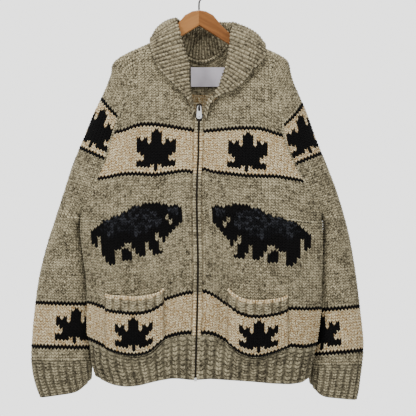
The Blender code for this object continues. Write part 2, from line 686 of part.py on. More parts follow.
# Slider: two plates on a post, with the pull's bail in front
CX = float(column(ZIP, 1, -295))
SKIN = float(torso(angle_at(CX, -299.0), -299.0)[1])
FRONT_PLATE = SKIN - 1.0
PIVOT = (CX, FRONT_PLATE - 4.2, -286.0)
slider = prism("zip_slider", rounded(CX, -280.5, -299.5, 6.6, 5.0), FRONT_PLATE - 2.0, FRONT_PLATE, BLACK_METAL)
rear = prism("rear", rounded(CX, -280.5, -298.6, 6.0, 4.6), FRONT_PLATE + 4.6, FRONT_PLATE + 6.2, BLACK_METAL)
post = prism("post", [(CX - 2.4, -282), (CX + 2.4, -282), (CX + 1.2, -294), (CX - 1.2, -294)],
             FRONT_PLATE - 0.5, FRONT_PLATE + 5.0, BLACK_METAL)
join(slider, post, "UNION")
join(slider, rear, "UNION")
arch = []
for k in range(9):
    t = np.pi * k / 8
    arch.append((PIVOT[1] - 3.0 * np.sin(t), PIVOT[2] + 3.1 * np.cos(t)))
for k in range(9):
    t = np.pi * (8 - k) / 8
    arch.append((PIVOT[1] - 1.5 * np.sin(t), PIVOT[2] + 1.5 * np.cos(t)))
arch = [(FRONT_PLATE - 1.0, arch[0][1])] + arch[:9] + [(FRONT_PLATE - 1.0, arch[8][1])] + \
    [(FRONT_PLATE - 1.0, arch[9][1])] + arch[9:] + [(FRONT_PLATE - 1.0, arch[17][1])]
count = len(arch)
bail = make("bail", [(CX - 1.5, y, z) for y, z in arch] + [(CX + 1.5, y, z) for y, z in arch],
            [tuple(range(count)), tuple(range(2 * count - 1, count - 1, -1))]
            + [(i, i + count, (i + 1) % count + count, (i + 1) % count) for i in range(count)],
            BLACK_METAL, shade=False)
volume = sum(arch[i - 1][0] * arch[i][1] - arch[i][0] * arch[i - 1][1] for i in range(count))
if volume < 0:
    bail.data.flip_normals()
join(slider, bail, "UNION")

# Pull tab: a plate with a slot at its top and a small hole at its foot. It turns about its top bar.
pull = prism("zip_pull", rounded(CX, PIVOT[2] + 1.0, PIVOT[2] - 28.5, 4.2, 6.2, 8),
             PIVOT[1] - 0.8, PIVOT[1] + 0.8, SILVER)
join(pull, prism("slot", rounded(CX, PIVOT[2] - 0.9, PIVOT[2] - 11.5, 2.5, 2.5, 6),
                 PIVOT[1] - 3, PIVOT[1] + 3, SILVER), "DIFFERENCE")
join(pull, prism("hole", [(CX + 1.3 * np.cos(t), PIVOT[2] - 24 + 1.3 * np.sin(t))
                          for t in np.linspace(0, 2 * np.pi, 12, endpoint=False)],
                 PIVOT[1] - 3, PIVOT[1] + 3, SILVER), "DIFFERENCE")
pivot = np.array(PIVOT) * MM
for vertex in pull.data.vertices:
    vertex.co = [vertex.co[k] - pivot[k] for k in range(3)]
pull.location = pivot

# Box at the foot of the zip
foot_x = float(column(ZIP, 1, -888))
foot_y = float(torso(angle_at(foot_x, -888.0), -888.0)[1])
prism("zip_stop", [(foot_x - 2.9, -884), (foot_x + 2.9, -884), (foot_x + 2.9, -891.5), (foot_x - 2.9, -891.5)],
      foot_y - 0.8, foot_y + 3.6, SILVER)


def tube(name, rings, material):
    """A closed solid through rings of equal point counts."""
    rings = np.asarray(rings, float)
    rows, cols = rings.shape[:2]
    faces = []
    for i in range(rows - 1):
        for j in range(cols):
            k = (j + 1) % cols
            faces.append((i * cols + j, i * cols + k, (i + 1) * cols + k, (i + 1) * cols + j))
    faces.append(tuple(range(cols - 1, -1, -1)))
    faces.append(tuple((rows - 1) * cols + j for j in range(cols)))
    centre = rings.mean(axis=1)
    side = np.cross(rings[1, 1] - rings[0, 0], rings[1, 0] - rings[0, 1])
    if np.dot(side, rings[0, 0] + rings[0, 1] - 2 * centre[0]) < 0:
        faces = [f[::-1] for f in faces]
    return make(name, rings.reshape(-1, 3), faces, material)


for side, name in ((-1, "left"), (1, "right")):
    rings = []
    for out, top, bottom, half in ARM:
        k = min(3.0, half * 0.4)
        section = [(-half + k, top), (half - k, top), (half, top - k), (half, bottom + k), (half - k, bottom),
                   (-half + k, bottom), (-half, bottom + k), (-half, top - k)]
        rings.append([(side * out, y, z) for y, z in section])
    tube("hanger_arm_" + name, rings, WOOD)

steps = np.linspace(0, len(HOOK) - 1, 21)
line = np.stack([smooth(steps, np.arange(len(HOOK), dtype=float), HOOK[:, c]) for c in (0, 1)], -1)
ahead = unit(np.gradient(line, axis=0))
rings = []
for (x, z), (dx, dz) in zip(line, ahead):
    rings.append([(x - dz * WIRE * np.cos(t), WIRE * np.sin(t), z + dx * WIRE * np.cos(t))
                  for t in np.linspace(0, 2 * np.pi, 8, endpoint=False)])
tube("hanger_hook", rings, BLACK_METAL)
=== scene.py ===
"""Cowichan zip cardigan hanging on a wooden hanger, its front towards -Y.

Left and right are the viewer's. Shape tables are in millimetres from the inside top of the hook.
"""

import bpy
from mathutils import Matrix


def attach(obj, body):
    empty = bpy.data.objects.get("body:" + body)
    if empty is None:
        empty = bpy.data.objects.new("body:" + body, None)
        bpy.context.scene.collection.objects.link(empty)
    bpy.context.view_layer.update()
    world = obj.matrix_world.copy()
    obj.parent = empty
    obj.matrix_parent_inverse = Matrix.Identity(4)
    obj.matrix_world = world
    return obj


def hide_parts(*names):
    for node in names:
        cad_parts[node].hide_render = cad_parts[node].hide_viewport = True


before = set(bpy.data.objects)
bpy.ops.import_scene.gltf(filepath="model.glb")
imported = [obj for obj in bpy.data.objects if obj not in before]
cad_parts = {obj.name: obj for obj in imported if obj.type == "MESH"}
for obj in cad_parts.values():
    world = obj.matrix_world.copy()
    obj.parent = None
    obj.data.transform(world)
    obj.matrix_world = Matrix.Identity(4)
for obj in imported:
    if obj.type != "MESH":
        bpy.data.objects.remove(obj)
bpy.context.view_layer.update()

import math

import bmesh
import bpy
import numpy as np

# ---------------------------------------------------------------- back and fronts
# The back and the two fronts are hand-knitted flat in thick unspun wool, in stocking stitch.
# Bands of cream wool, black stripes, leaves and a pair of bison are worked in as they are
# knitted; the pieces are then sewn along the raglans and down the sides.

WALL = 5.0
SIDE_SEAM = 93.0
UNDERARM, HEM_SEAM = -533.0, -800.0

# Body tube: height, left fold, right fold, depth in front, depth behind, middle
TORSO = np.array([
    (-112, -71, 79, 11, 11, 0),
    (-130, -89, 98, 19, 17, 0),
    (-148, -113, 124, 25, 22, 0),
    (-161, -142, 153, 28, 24.5, 0),
    (-183, -183, 193, 31, 27, 0),
    (-209, -193, 202, 36, 31, 0),
    (-262, -209, 218, 44, 37, 0),
    (-299, -221, 229, 47, 40, -1),
    (-350, -233, 240, 48, 42, -2),
    (-416, -246, 253, 52, 44, -4),
    (-471, -256, 264, 55, 45, -6),
    (-522, -262, 272, 56, 46, -8),
    (-561, -262, 273, 56, 46, -8),
    (-610, -257, 273, 57, 46, -8),
    (-669, -249, 271, 57, 47, -8),
    (-717, -247, 270, 57, 47, -8),
    (-790, -246, 263, 57, 47, -8),
    (-823, -239, 256, 56, 46, -8),
    (-856, -235, 248, 54, 46, -8),
    (-876, -229, 245, 53, 46, -8),
    (-907, -216, 238, 52, 46, -8),
], float)
# Raglan seams as angles round the body: height, front left, front right, back
RAGLAN = np.array([
    (-119, 61, 61, 124),
    (-137, 63, 65, 122),
    (-159, 57, 66, 128),
    (-181, 48, 56, 136),
    (-203, 47, 51, 137),
    (-238, 50, 52, 134),
    (-273, 51, 52, 133),
    (-313, 53, 52, 131),
    (-361, 56, 51, 128),
    (-401, 58, 55, 124),
    (-445, 64, 62, 119),
    (-482, 71, 71, 112),
    (-504, 79, 79, 105),
    (-517, 85, 85, 99),
    (-525, 89, 89, 96),
    (-533, 93, 93, 93),
], float)
# Neck edge of the fronts: height, left, right
NECK = np.array([
    (-119, -72, 77),
    (-130, -73, 81),
    (-150, -61, 81.5),
    (-170, -47.5, 78.5),
    (-198, -37.5, 71.5),
    (-228, -36, 61.5),
    (-246, -34, 56),
    (-265, -29, 43),
    (-284, -21, 24),
    (-306, -8.8, 10),
    (-322, -4.4, 4.2),
    (-340, -4.2, 3.0),
], float)
# Zip line: height, middle
ZIP = np.array([
    (-270, 0.6), (-316, 0.2), (-347, -0.7), (-397, -1.5), (-448, -4.0), (-493, -4.8), (-559, -3.7),
    (-625, -2.2), (-713, -3.3), (-801, -5.5), (-891, -7.7), (-910, -7.9),
], float)
ZIP_HALF = 3.3
FRONT_GAP = ZIP_HALF - 1.3  # from the zip's middle to the edge of a front
# Lower edges of the front: across, where the rib starts / where it ends
HEM_TOP = np.array([
    (-253, -801), (-227, -812), (-196, -827), (-152, -838), (-108, -830), (-79, -805), (-53, -795),
    (0, -791), (33, -794), (59, -808), (90, -832), (128, -841), (165, -832), (200, -820), (233, -822),
    (264, -816),
], float)
HEM_END = np.array([
    (-240, -872), (-227, -884), (-218, -891), (-202, -899), (-175, -904), (-140, -902), (-108, -895),
    (-84, -890), (-55, -886), (-8, -889), (28, -887), (62, -889), (118, -893), (178, -898),
    (216, -898), (236, -893), (250, -880),
], float)
# Large folds: side (-1 front, 1 back), across at top, across at bottom, top, bottom, half width, height
FOLDS = (
    (-1, -62, -66, -640, -850, 15, -6.0),
    (-1, -86, -92, -620, -700, 12, 3.0),
    (-1, 56, 52, -620, -850, 14, -6.0),
    (-1, 207, 217, -560, -860, 20, 5.0),
    (-1, 172, 178, -600, -690, 14, -3.0),
    (-1, -196, -212, -560, -860, 18, 4.0),
    (-1, -120, -190, -230, -480, 26, 3.5),
    (-1, 132, 205, -240, -480, 26, 3.5),
    (-1, -96, -150, -250, -470, 18, -3.0),
    (-1, 108, 166, -250, -470, 18, -3.0),
    (-1, -30, -34, -430, -860, 22, 3.0),
    (-1, 26, 22, -430, -860, 22, 3.0),
    (1, -150, -165, -330, -905, 30, 6.0),
    (1, -62, -60, -420, -905, 26, -5.0),
    (1, 20, 34, -330, -905, 30, 6.0),
    (1, 104, 118, -420, -905, 26, -5.0),
    (1, 182, 196, -380, -905, 26, 5.0),
)
# Where knitted courses run across the front: across, then the heights of both stripes of the
# upper band and of the upper stripe of the lower band
COURSES = np.array([
    (-268, -345, -449, -716), (-240, -345, -446, -719), (-205, -344.7, -442.5, -729),
    (-170, -339.9, -435.3, -728), (-135, -327.3, -434.5, -724), (-100, -325.6, -436.8, -717),
    (-60, -331.1, -431.7, -706), (-30, -336.4, -428, -697), (-6, -339.6, -429.8, -694),
    (6, -341.0, -424, -692), (30, -339.6, -430.0, -700), (60, -336.7, -433.2, -721),
    (100, -333.8, -438.2, -729), (140, -336.4, -439.5, -732), (170, -346.1, -440.1, -732),
    (205, -356, -445.4, -731), (240, -358.8, -451, -732), (275, -358.8, -453.6, -731),
], float)
COURSE_NUMBERS = np.array([0, 33.5, 50.5, 97.5, 112.5, 113.7])
BODY_WALES, BODY_COURSES = 36, 114
CREAM_ROWS = ((34, 50), (98, 112))  # first and past the last course of the two cream bands
STRIPES = (33, 50, 97, 112)

LEAF = (
    ".....#.....",
    "....###....",
    "....###....",
    "#.#.###.#.#",
    "###.###.###",
    "###########",
    "###########",
    "###########",
    ".#########.",
    "..#######..",
    "..#######..",
    "###########",
    "####.#.####",
    ".....#.....",
)
LOW_LEAF = LEAF[:6] + LEAF[8:]
BISON = (  # head to the right, b black, c charcoal
    "................bbbbb......",
    ".............cccbbbbbbb....",
    "............ccccccbbbbbccc.",
    "..........ccccccccccbbbcccb",
    ".......cccccccccccccbbbcccb",
    "....bccccccccccccccccb.bccb",
    "...bcccccccccccccccccb.bbbb",
    "..bbcccccccccccccccccbb.bbb",
    ".bbcccccccccccccccccbbb.bbb",
    "bbbbcccccccccccccbbbbbbbbb.",
    "bbbbbcccbbbccccccbbbbbbbb..",
    "bb.bbccbbbbbccbbbbb.bbbb...",
    "bb.bbbbbbbbbbbbbbbb.bbb....",
    "bb.bbbbbbbbbbbbbbbb..b.....",
    ".b.bbbbbbb..bbbb.bbb.b.....",
    "...bbbbbb...bbbb.bbb.......",
    "...bbbb..bb..bbb.bbb.......",
    "...bbbb..bbb.bbb..bb.......",
    "....bbb..bbb..bb..bbb......",
    "....bbb..bbb...............",
    ".....bb....................",
)
GREY, BLACK, CREAM, CHARCOAL = 0.0, 1.0, 2.0, 3.0
MM = 0.001
WELD = 0.00004
PLAIN_DEPTH = 0.6  # relief given to a plain lining, from which the wool paints a fixed shade on it


def smooth(x, xs, ys):
    """A smooth curve through the points of a table, flat beyond its ends."""
    x = np.clip(x, min(xs[0], xs[-1]), max(xs[0], xs[-1]))
    if xs[0] > xs[-1]:
        xs, ys = xs[::-1], ys[::-1]
    slope = np.gradient(ys, xs)
    i = np.clip(np.searchsorted(xs, x, side="right") - 1, 0, len(xs) - 2)
    h = xs[i + 1] - xs[i]
    t = (x - xs[i]) / h
    a = (1 + 2 * t) * (1 - t) ** 2 * ys[i] + t * (1 - t) ** 2 * h * slope[i]
    return a + t * t * (3 - 2 * t) * ys[i + 1] + t * t * (t - 1) * h * slope[i + 1]


def column(table, k, z):
    return smooth(z, table[:, 0], table[:, k])


def ease(x):
    x = np.clip(x, 0, 1)
    return x * x * (3 - 2 * x)


def unit(v):
    return v / np.maximum(np.linalg.norm(v, axis=-1, keepdims=True), 1e-9)


def folds(side, x, z):
    total = 0.0
    for face, x0, x1, top, bottom, width, height in FOLDS:
        if face != side:
            continue
        t = (top - z) / (top - bottom)
        middle = x0 + (x1 - x0) * t
        reach = ease(t / 0.25) * (ease((1 - t) / 0.15) if bottom > -880 else 1)
        total = total + height * reach * np.exp(-(((x - middle) / width) ** 2))
    return total


def torso(angle, z):
    """Outside of the body at an angle in degrees from the front (+ is right) and a height."""
    angle, z = np.broadcast_arrays(np.asarray(angle, float), np.asarray(z, float))
    left, right, front, back, middle = (column(TORSO, k, z) for k in range(1, 6))
    a = np.radians(angle)
    x = (left + right) / 2 + (right - left) / 2 * np.sin(a)
    c = np.cos(a)
    near = np.clip(np.abs(c) * 1.4, 0, 1)
    forward = front * np.abs(c) ** 0.92 + folds(-1, x, z) * near
    behind = back * np.abs(c) ** 0.92 + folds(1, x, z) * near
    return np.stack([x, middle - np.where(c > 0, forward, -behind), z], axis=-1)


def angle_at(x, z, behind=False):
    left, right = column(TORSO, 1, z), column(TORSO, 2, z)
    a = np.degrees(np.arcsin(np.clip((2 * x - left - right) / (right - left), -1, 1)))
    return np.where(a < 0, -180 - a, 180 - a) if behind else a


def torso_normal(angle, z):
    across = torso(angle + 0.6, z) - torso(angle - 0.6, z)
    up = torso(angle, z + 2) - torso(angle, z - 2)
    return unit(np.cross(across, up))


def hem_line(table, x, behind, ends):
    front = smooth(x, table[:, 0], table[:, 1])
    if not behind:
        return front
    flat = np.interp(x, ends, smooth(np.array(ends), table[:, 0], table[:, 1]))
    return flat - 5 * np.sin(np.pi * np.clip((x - ends[0]) / (ends[1] - ends[0]), 0, 1))


def neck_dip(x, z):
    """How far the courses of the back sink behind the neck."""
    return 56 * np.clip(1 - ((x - 4) / 74) ** 2, 0, 1) ** 0.8 * ease((z + 330) / 190)


def course_height(course, x, behind=False):
    """Height of a knitted course where it passes x."""
    course, x = np.broadcast_arrays(np.asarray(course, float), np.asarray(x, float))
    hem = hem_line(HEM_TOP, x, behind, (-246.0, 263.0))
    if behind:
        lines = [-338 + 0 * x, -444 + 0 * x, -730 + 0 * x]
    else:
        lines = [smooth(x, COURSES[:, 0], COURSES[:, k]) for k in (1, 2, 3)]
    lines = np.stack([-130 + 0 * x, *lines, hem + 8, hem])
    at = np.clip(np.searchsorted(COURSE_NUMBERS, course, side="right") - 1, 0, len(COURSE_NUMBERS) - 2)
    share = (course - COURSE_NUMBERS[at]) / (COURSE_NUMBERS[at + 1] - COURSE_NUMBERS[at])
    low = np.take_along_axis(lines, at[None], 0)[0]
    high = np.take_along_axis(lines, at[None] + 1, 0)[0]
    return low + (high - low) * np.clip(share, 0, 1)


ROUNDING = 1e-6


def knit_relief(wale, course):
    """How far a point of stocking stitch stands out, 0 to 1: two legs to each stitch, in a V."""
    u = from_middle(wale)
    leg = 1 - (2 * u - 1) ** 2
    leg = np.where(u < 0.5, 0.45 + 0.55 * leg, 0.2 + 0.8 * leg)
    return leg * (0.2 + 0.8 * swelling(course) ** 0.8), u


def v_shape(u):
    """Share of a course by which the legs of a stitch run up towards its border."""
    return 0.4 - 0.8 * u


def seam_direction(angle, z):
    """Outward at a raglan, where body and sleeve share a mitre that turns down under the arm."""
    down = np.interp(z, [-533, -525, -514, -490, -470], [4, 1.2, 0.5, 0.15, 0])
    down = np.where(z < UNDERARM - 0.5, 0, down)
    return unit(torso_normal(angle, z) - np.stack([0 * down, 0 * down, down], -1))


def run_of(points):
    return np.concatenate([[0], np.cumsum(np.linalg.norm(np.diff(points, axis=0), axis=1))])


def resampled(points, run, at):
    return np.stack([np.interp(at, run, points[:, k]) for k in range(3)], -1)


def raglan(side, z):
    """Angle of a raglan seam: -1 left front, 1 right front, 0 back."""
    return column(RAGLAN, 3 if side == 0 else (1 if side < 0 else 2), z)


def front_edge(side, z):
    return column(ZIP, 1, z) + side * FRONT_GAP


def from_middle(wale):
    """How far across its stitch a place is, 0 in the middle and 1 at the border."""
    return np.abs(2 * (wale - np.floor(wale + ROUNDING)) - 1)


def swelling(course):
    """How full a stitch is on its way from one course to the next."""
    v = course - np.floor(course + ROUNDING)
    return np.sin(np.pi * np.clip(v * 0.92 + 0.06, 0, 1))


def edge_angle(kind, course, which):
    """Angle and height where a course meets the raglan or side seam, or the neck."""
    z = float(course_height(course, 0, kind == 0))
    for _ in range(8):
        if which == "neck":
            x = float(column(NECK, 1 if kind < 0 else 2, z) if z > NECK[-1, 0] else front_edge(kind, z))
            angle = float(angle_at(x, z))
        else:
            side = which if kind == 0 else kind
            angle = SIDE_SEAM
            if z > UNDERARM:
                angle = float(raglan(kind, z))
            angle *= side
            if kind == 0:
                angle = angle if side < 0 else angle - 360
        x = float(torso(angle, z)[0])
        z = float(course_height(course, x, kind == 0))
        if kind == 0:
            z -= float(neck_dip(x, z))
    return angle, z


def body_piece(kind, across, along, chevron=True):
    """Points, outward directions and relief of the back (0) or of a front (-1 or 1)."""
    wales = 2 * BODY_WALES if kind == 0 else BODY_WALES
    s = np.arange(wales * across + 1) / across
    points, relief = [], []
    full = run_of(torso(np.linspace(0, kind * SIDE_SEAM if kind else SIDE_SEAM, 161), UNDERARM))[-1]
    for k in range(BODY_COURSES * along + 1):
        course = k / along
        if kind:
            first, last = edge_angle(kind, course, "neck"), edge_angle(kind, course, kind)
            z_mid = float(course_height(course, kind * 120))
            dense = np.linspace(float(angle_at(front_edge(kind, z_mid), z_mid)), kind * 97, 171)
        else:
            first, last = edge_angle(0, course, -1), edge_angle(0, course, 1)
            z_mid = float(course_height(course, 0, True))
            dense = np.linspace(-90, -270, 241)
        x = torso(dense, z_mid)[:, 0]
        run = run_of(torso(dense, course_height(course, x, kind == 0)))
        order = np.argsort(dense)
        low, high = (float(np.interp(a, dense[order], run[order])) for a in (first[0], last[0]))
        pitch = full / BODY_WALES if z_mid > UNDERARM else (high - low) / wales
        at = s * pitch if kind else (low + high) / 2 + (s - BODY_WALES) * pitch
        free = (at > low + 0.2) & (at < high - 0.2)
        at = np.clip(at, low, high)
        angle = np.interp(at, run, dense)
        start = at < (low + high) / 2
        angle = np.where(free, angle, np.where(start, first[0], last[0]))
        rise, u = knit_relief(s, np.full(len(s), course))
        if kind:
            rise = rise * np.clip(np.abs(s - 1.15) / 0.4, 0, 1)
        shift = np.where(free, v_shape(u), 0) * min(1, course / 2, BODY_COURSES - course)
        here = course + (shift if chevron else 0)
        z = course_height(here, x=torso(angle, z_mid)[:, 0], behind=kind == 0)
        z = course_height(here, x=torso(angle, z)[:, 0], behind=kind == 0)
        if kind == 0:
            x = torso(angle, z)[:, 0]
            dip = neck_dip(x, z)
            z = z - dip
            angle = np.where(dip > 0.01, angle_at(x, z, True), angle)
            angle = np.where(angle > 0, angle - 360, angle)
        z = np.where(free, z, np.where(start, first[1], last[1]))
        points.append(np.stack([angle, z], -1))
        relief.append(np.where(free, rise, 0.0))
    points, relief = np.array(points), np.array(relief)
    angle, z = points[..., 0], points[..., 1]
    outward = torso_normal(angle, z)
    for edge in ((-1,) if kind else (0, -1)):
        outward[:, edge] = seam_direction(angle[:, edge], z[:, edge])
    return torso(angle, z), outward, relief


def blank(courses, wales):
    return np.full((courses, wales), GREY)


def work_in(chart, motif, course, wale, mirror=False):
    """Works a motif into a chart of yarns, its top left stitch at a course and a wale."""
    yarns = {"#": BLACK, "b": BLACK, "c": CHARCOAL}
    for i, row in enumerate(motif):
        for j, mark in enumerate(row[::-1] if mirror else row):
            if mark in yarns and course + i < chart.shape[0] and 0 <= wale + j < chart.shape[1]:
                chart[course + i, wale + j] = yarns[mark]


class Value:
    """A socket of a finish that takes part in sums."""

    def __init__(self, finish, socket):
        self.finish, self.socket = finish, socket

    def math(self, operation, a, b=0.0):
        return self.finish.node("ShaderNodeMath", {"operation": operation}, {0: a, 1: b})

    def __add__(self, other):
        return self.math("ADD", self, other)

    def __sub__(self, other):
        return self.math("SUBTRACT", self, other)

    def __rsub__(self, other):
        return self.math("SUBTRACT", other, self)

    def __mul__(self, other):
        return self.math("MULTIPLY", self, other)

    def edge(self):
        """How near the border of its stitch a place is, 0 in the middle and 1 at the border."""
        return self.math("ABSOLUTE", self.math("FRACT", self) * 2 - 1)

    def most(self, other):
        return self.math("MAXIMUM", self, other)

    def __gt__(self, other):
        return self.math("GREATER_THAN", self, other)

    def __lt__(self, other):
        return self.math("LESS_THAN", self, other)

    __radd__, __rmul__ = __add__, __mul__


class Finish:
    """A material, with one method that makes its nodes."""

    def __init__(self, name, made=None, base="Principled BSDF", **shader):
        self.material = made or bpy.data.materials.new(name)
        self.material.use_nodes = True
        self.tree = self.material.node_tree
        self.shader = self.tree.nodes[base]
        for socket, value in shader.items():
            self.shader.inputs[socket.replace("_", " ")].default_value = value

    def node(self, kind, settings=(), sockets=(), out=0):
        made = self.tree.nodes.new(kind)
        for key, value in dict(settings).items():
            setattr(made, key, value)
        for key, value in dict(sockets).items():
            self.put(made.inputs[key], value)
        return Value(self, made.outputs[out])

    def put(self, socket, value):
        if isinstance(value, Value):
            self.tree.links.new(value.socket, socket)
        else:
            socket.default_value = value

    def set(self, **shader):
        for socket, value in shader.items():
            self.put(self.shader.inputs[socket.replace("_", " ")], value)

    def blend(self, share, a, b, how="MIX"):
        settings = {"data_type": "RGBA", "blend_type": how, "clamp_factor": True}
        return self.node("ShaderNodeMix", settings, {0: share, 6: a, 7: b}, out=2)

    def noise(self, where, scale, detail=3.0, rough=0.5):
        return self.node("ShaderNodeTexNoise", {}, {"Vector": where, "Scale": scale, "Detail": detail,
                                                    "Roughness": rough})

    def place(self):
        """Coordinates on the object itself."""
        return self.node("ShaderNodeTexCoord", out=3)

    def bump(self, strength, distance, height):
        return self.node("ShaderNodeBump", {}, {"Strength": strength, "Distance": distance, "Height": height})

    def between(self, value, low, high):
        return self.node("ShaderNodeMapRange", {"interpolation_type": "SMOOTHSTEP"},
                         {"Value": value, "From Min": low, "From Max": high})


def rgb(r, g, b):
    """A shader colour from screen values, 0 to 255."""
    return tuple(((c / 255 + 0.055) / 1.055) ** 2.4 if c > 10 else c / 255 / 12.92 for c in (r, g, b)) + (1.0,)


def wool(name, light, dark, gap_shade_border=0.55, painted_shade=rgb(96, 80, 60), middle=0.55):
    """Thick carded wool: heather of two greys, or the yarn that the chart names, with painted shade in its gaps and
    hollows.
    """
    f = Finish(name, Roughness=0.95, Specular_IOR_Level=0.08, Sheen_Weight=0.03, Sheen_Roughness=0.6)
    place = f.place()
    even = f.node("ShaderNodeUVMap", {"uv_map": "stitch"})
    stray = f.node("ShaderNodeTexNoise", {}, {"Vector": place, "Scale": 130.0, "Detail": 2.0}, out=1)
    stray = f.node("ShaderNodeVectorMath", {"operation": "SUBTRACT"}, {0: stray, 1: (0.5, 0.5, 0.5)})
    cloth = f.node("ShaderNodeVectorMath", {"operation": "MULTIPLY_ADD"}, {0: stray, 1: (0.5, 0.6, 0.0), 2: even})
    stitch = f.node("ShaderNodeVectorMath", {"operation": "FLOOR"}, {0: even})
    own = f.node("ShaderNodeTexWhiteNoise", {"noise_dimensions": "2D"}, {"Vector": stitch})
    across, along = (f.node("ShaderNodeSeparateXYZ", {}, {0: cloth}, out=k).edge() for k in (0, 1))
    marl = f.noise(place, 230.0, 5.0, 0.75)
    fibre = f.noise(place, 900.0, 4.0, 0.65)
    cloud = f.noise(place, 26.0, 3.0, 0.6)
    yarn = f.node("ShaderNodeAttribute", {"attribute_name": "yarn"}, out=2)
    depth = f.node("ShaderNodeAttribute", {"attribute_name": "relief"}, out=2)
    blend = f.between(marl * 0.95 + own * 0.1 + fibre * 0.3 + cloud * 0.22, 0.58, 0.96)
    heather = f.blend(blend, dark, light)
    cream = f.blend(f.between(marl * 0.7 + fibre * 0.3, 0.42, 0.58), rgb(176, 140, 88), rgb(255, 242, 202))
    black = f.blend(fibre, rgb(2, 2, 2), rgb(11, 9, 9))
    coal = f.blend(f.between(marl * 0.7 + own * 0.3, 0.4, 0.72), rgb(8, 8, 10), rgb(52, 54, 60))
    tone = f.blend((yarn > 0.5) * (yarn < 1.5), heather, black)
    tone = f.blend((yarn > 1.5) * (yarn < 2.5), tone, cream)
    tone = f.blend(yarn > 2.5, tone, coal)
    # Painted shade: the gaps between stitches, the middle line between the legs of a V (by middle) and the low places
    # of the relief attribute are darkened towards the shade colour
    gap_shade_and_bump = (f.between(across, gap_shade_border, gap_shade_border + 0.45) * 0.75).most(f.between(along, 0.35, 0.95))
    gap_shade_and_bump = gap_shade_and_bump.most(f.between(across, 0.24, 0.0) * middle)
    tone = f.blend(gap_shade_and_bump.most((1 - depth) * 0.9) * 0.85, tone, f.blend(1.0, tone, painted_shade, "MULTIPLY"))
    f.set(Base_Color=tone)
    ply = f.node("ShaderNodeTexNoise", {}, {"Vector": f.node("ShaderNodeVectorMath", {"operation": "MULTIPLY"},
                 {0: cloth, 1: (22.0, 4.0, 1.0)}), "Scale": 1.0, "Detail": 2.0})
    f.set(Normal=f.bump(0.6, 0.0012, fibre * 0.5 + ply * 0.5 - gap_shade_and_bump * 0.8))
    return f.material


GREY_LIGHT, GREY_DARK = rgb(208, 197, 162), rgb(48, 42, 31)
body_wool = wool("body_wool", GREY_LIGHT, GREY_DARK)


def laid_grid(name, points, outward, per_stitch, chart=None, relief=None, finish=body_wool):
    """A grid primitive whose vertices are moved onto rows of points, with its stitches and yarns."""
    rows, cols = points.shape[:2]
    bpy.ops.mesh.primitive_grid_add(x_subdivisions=cols - 1, y_subdivisions=rows - 1, size=2)
    piece = bpy.context.object
    piece.name = piece.data.name = name
    mesh = piece.data
    at = np.empty(len(mesh.vertices) * 3, np.float32)
    mesh.vertices.foreach_get("co", at)
    at = at.reshape(-1, 3)
    i = np.rint((1 - at[:, 1]) / 2 * (rows - 1)).astype(int)
    j = np.rint((at[:, 0] + 1) / 2 * (cols - 1)).astype(int)
    mesh.vertices.foreach_set("co", (points[i, j] * MM).astype(np.float32).ravel())
    corner = np.empty(len(mesh.loops), np.int32)
    mesh.loops.foreach_get("vertex_index", corner)
    across, along = per_stitch
    mesh.uv_layers[0].name = "stitch"
    mesh.uv_layers[0].data.foreach_set("uv", np.stack([j[corner] / across, i[corner] / along], -1)
                                       .astype(np.float32).ravel())
    centre_i, centre_j = (q[corner].reshape(-1, 4).mean(1) for q in (i, j))
    yarn = mesh.attributes.new("yarn", "FLOAT", "FACE")
    code = np.zeros(len(mesh.polygons), np.float32)
    if chart is not None:
        fine = np.repeat(chart, along, 0)
        lapped = (fine[:-1] == BLACK) & (fine[1:] != CHARCOAL)
        fine[1:][lapped] = BLACK
        code = fine[np.clip(centre_i.astype(int), 0, len(fine) - 1),
                    np.clip((centre_j / across).astype(int), 0, chart.shape[1] - 1)]
    yarn.data.foreach_set("value", code.astype(np.float32))
    # The relief at each point, from which the wool paints shade into the low places
    depth = mesh.attributes.new("relief", "FLOAT", "POINT")
    values = np.full(len(at), PLAIN_DEPTH) if relief is None else relief[i, j]
    depth.data.foreach_set("value", values.astype(np.float32))
    mesh.update()
    normal = np.empty(len(mesh.polygons) * 3, np.float32)
    mesh.polygons.foreach_get("normal", normal)
    facing = (normal.reshape(-1, 3) * outward[centre_i.astype(int), centre_j.astype(int)]).sum()
    if facing < 0:
        mesh.flip_normals()
    mesh.materials.append(finish)
    bpy.ops.object.shade_smooth()
    piece.select_set(False)
    number = np.empty((rows, cols), int)
    number[i, j] = np.arange(len(at))
    return piece, number


def sealed(work, piece):
    """Merges the points that meet, turns the faces outwards and puts the work back into its piece."""
    bmesh.ops.remove_doubles(work, verts=work.verts, dist=WELD)
    bmesh.ops.recalc_face_normals(work, faces=work.faces)
    work.to_mesh(piece.data)
    work.free()


def line_piece(outer, inner, per_stitch, sides=None):
    """Joins a plain inner face to a knitted outer one and closes the edge between the two.

    sides is how many courses of the side edges are open, all of them if it is None.
    """
    (piece, face), (lining, back) = outer, inner
    back = back + len(piece.data.vertices)
    across, along = per_stitch
    bpy.ops.object.select_all(action="DESELECT")
    piece.select_set(True)
    lining.select_set(True)
    bpy.context.view_layer.objects.active = piece
    bpy.ops.object.join()
    work = bmesh.new()
    work.from_mesh(piece.data)
    work.verts.ensure_lookup_table()
    yarn = work.faces.layers.float["yarn"]
    edges = [(face[0], back[0], across), (face[-1], back[-1], across)]
    sides = len(back) - 1 if sides is None else sides
    if sides:
        edges += [(face[: sides * along + 1, k], back[: sides + 1, k], along) for k in (0, -1)]
    for fine, plain, parts in edges:
        for k in range(len(plain) - 1):
            near = [work.verts[v] for v in fine[k * parts: (k + 1) * parts + 1]]
            a, b = work.verts[plain[k]], work.verts[plain[k + 1]]
            half = (parts + 1) // 2
            corners = [(near[m], near[m + 1], a if m < half else b) for m in range(parts)]
            for trio in [*corners, (near[half], b, a)]:
                made = work.faces.new(trio)
                made.smooth = True
                made[yarn] = near[0].link_faces[0][yarn]
    sealed(work, piece)
    piece.select_set(False)
    return piece


rng = np.random.default_rng(8)


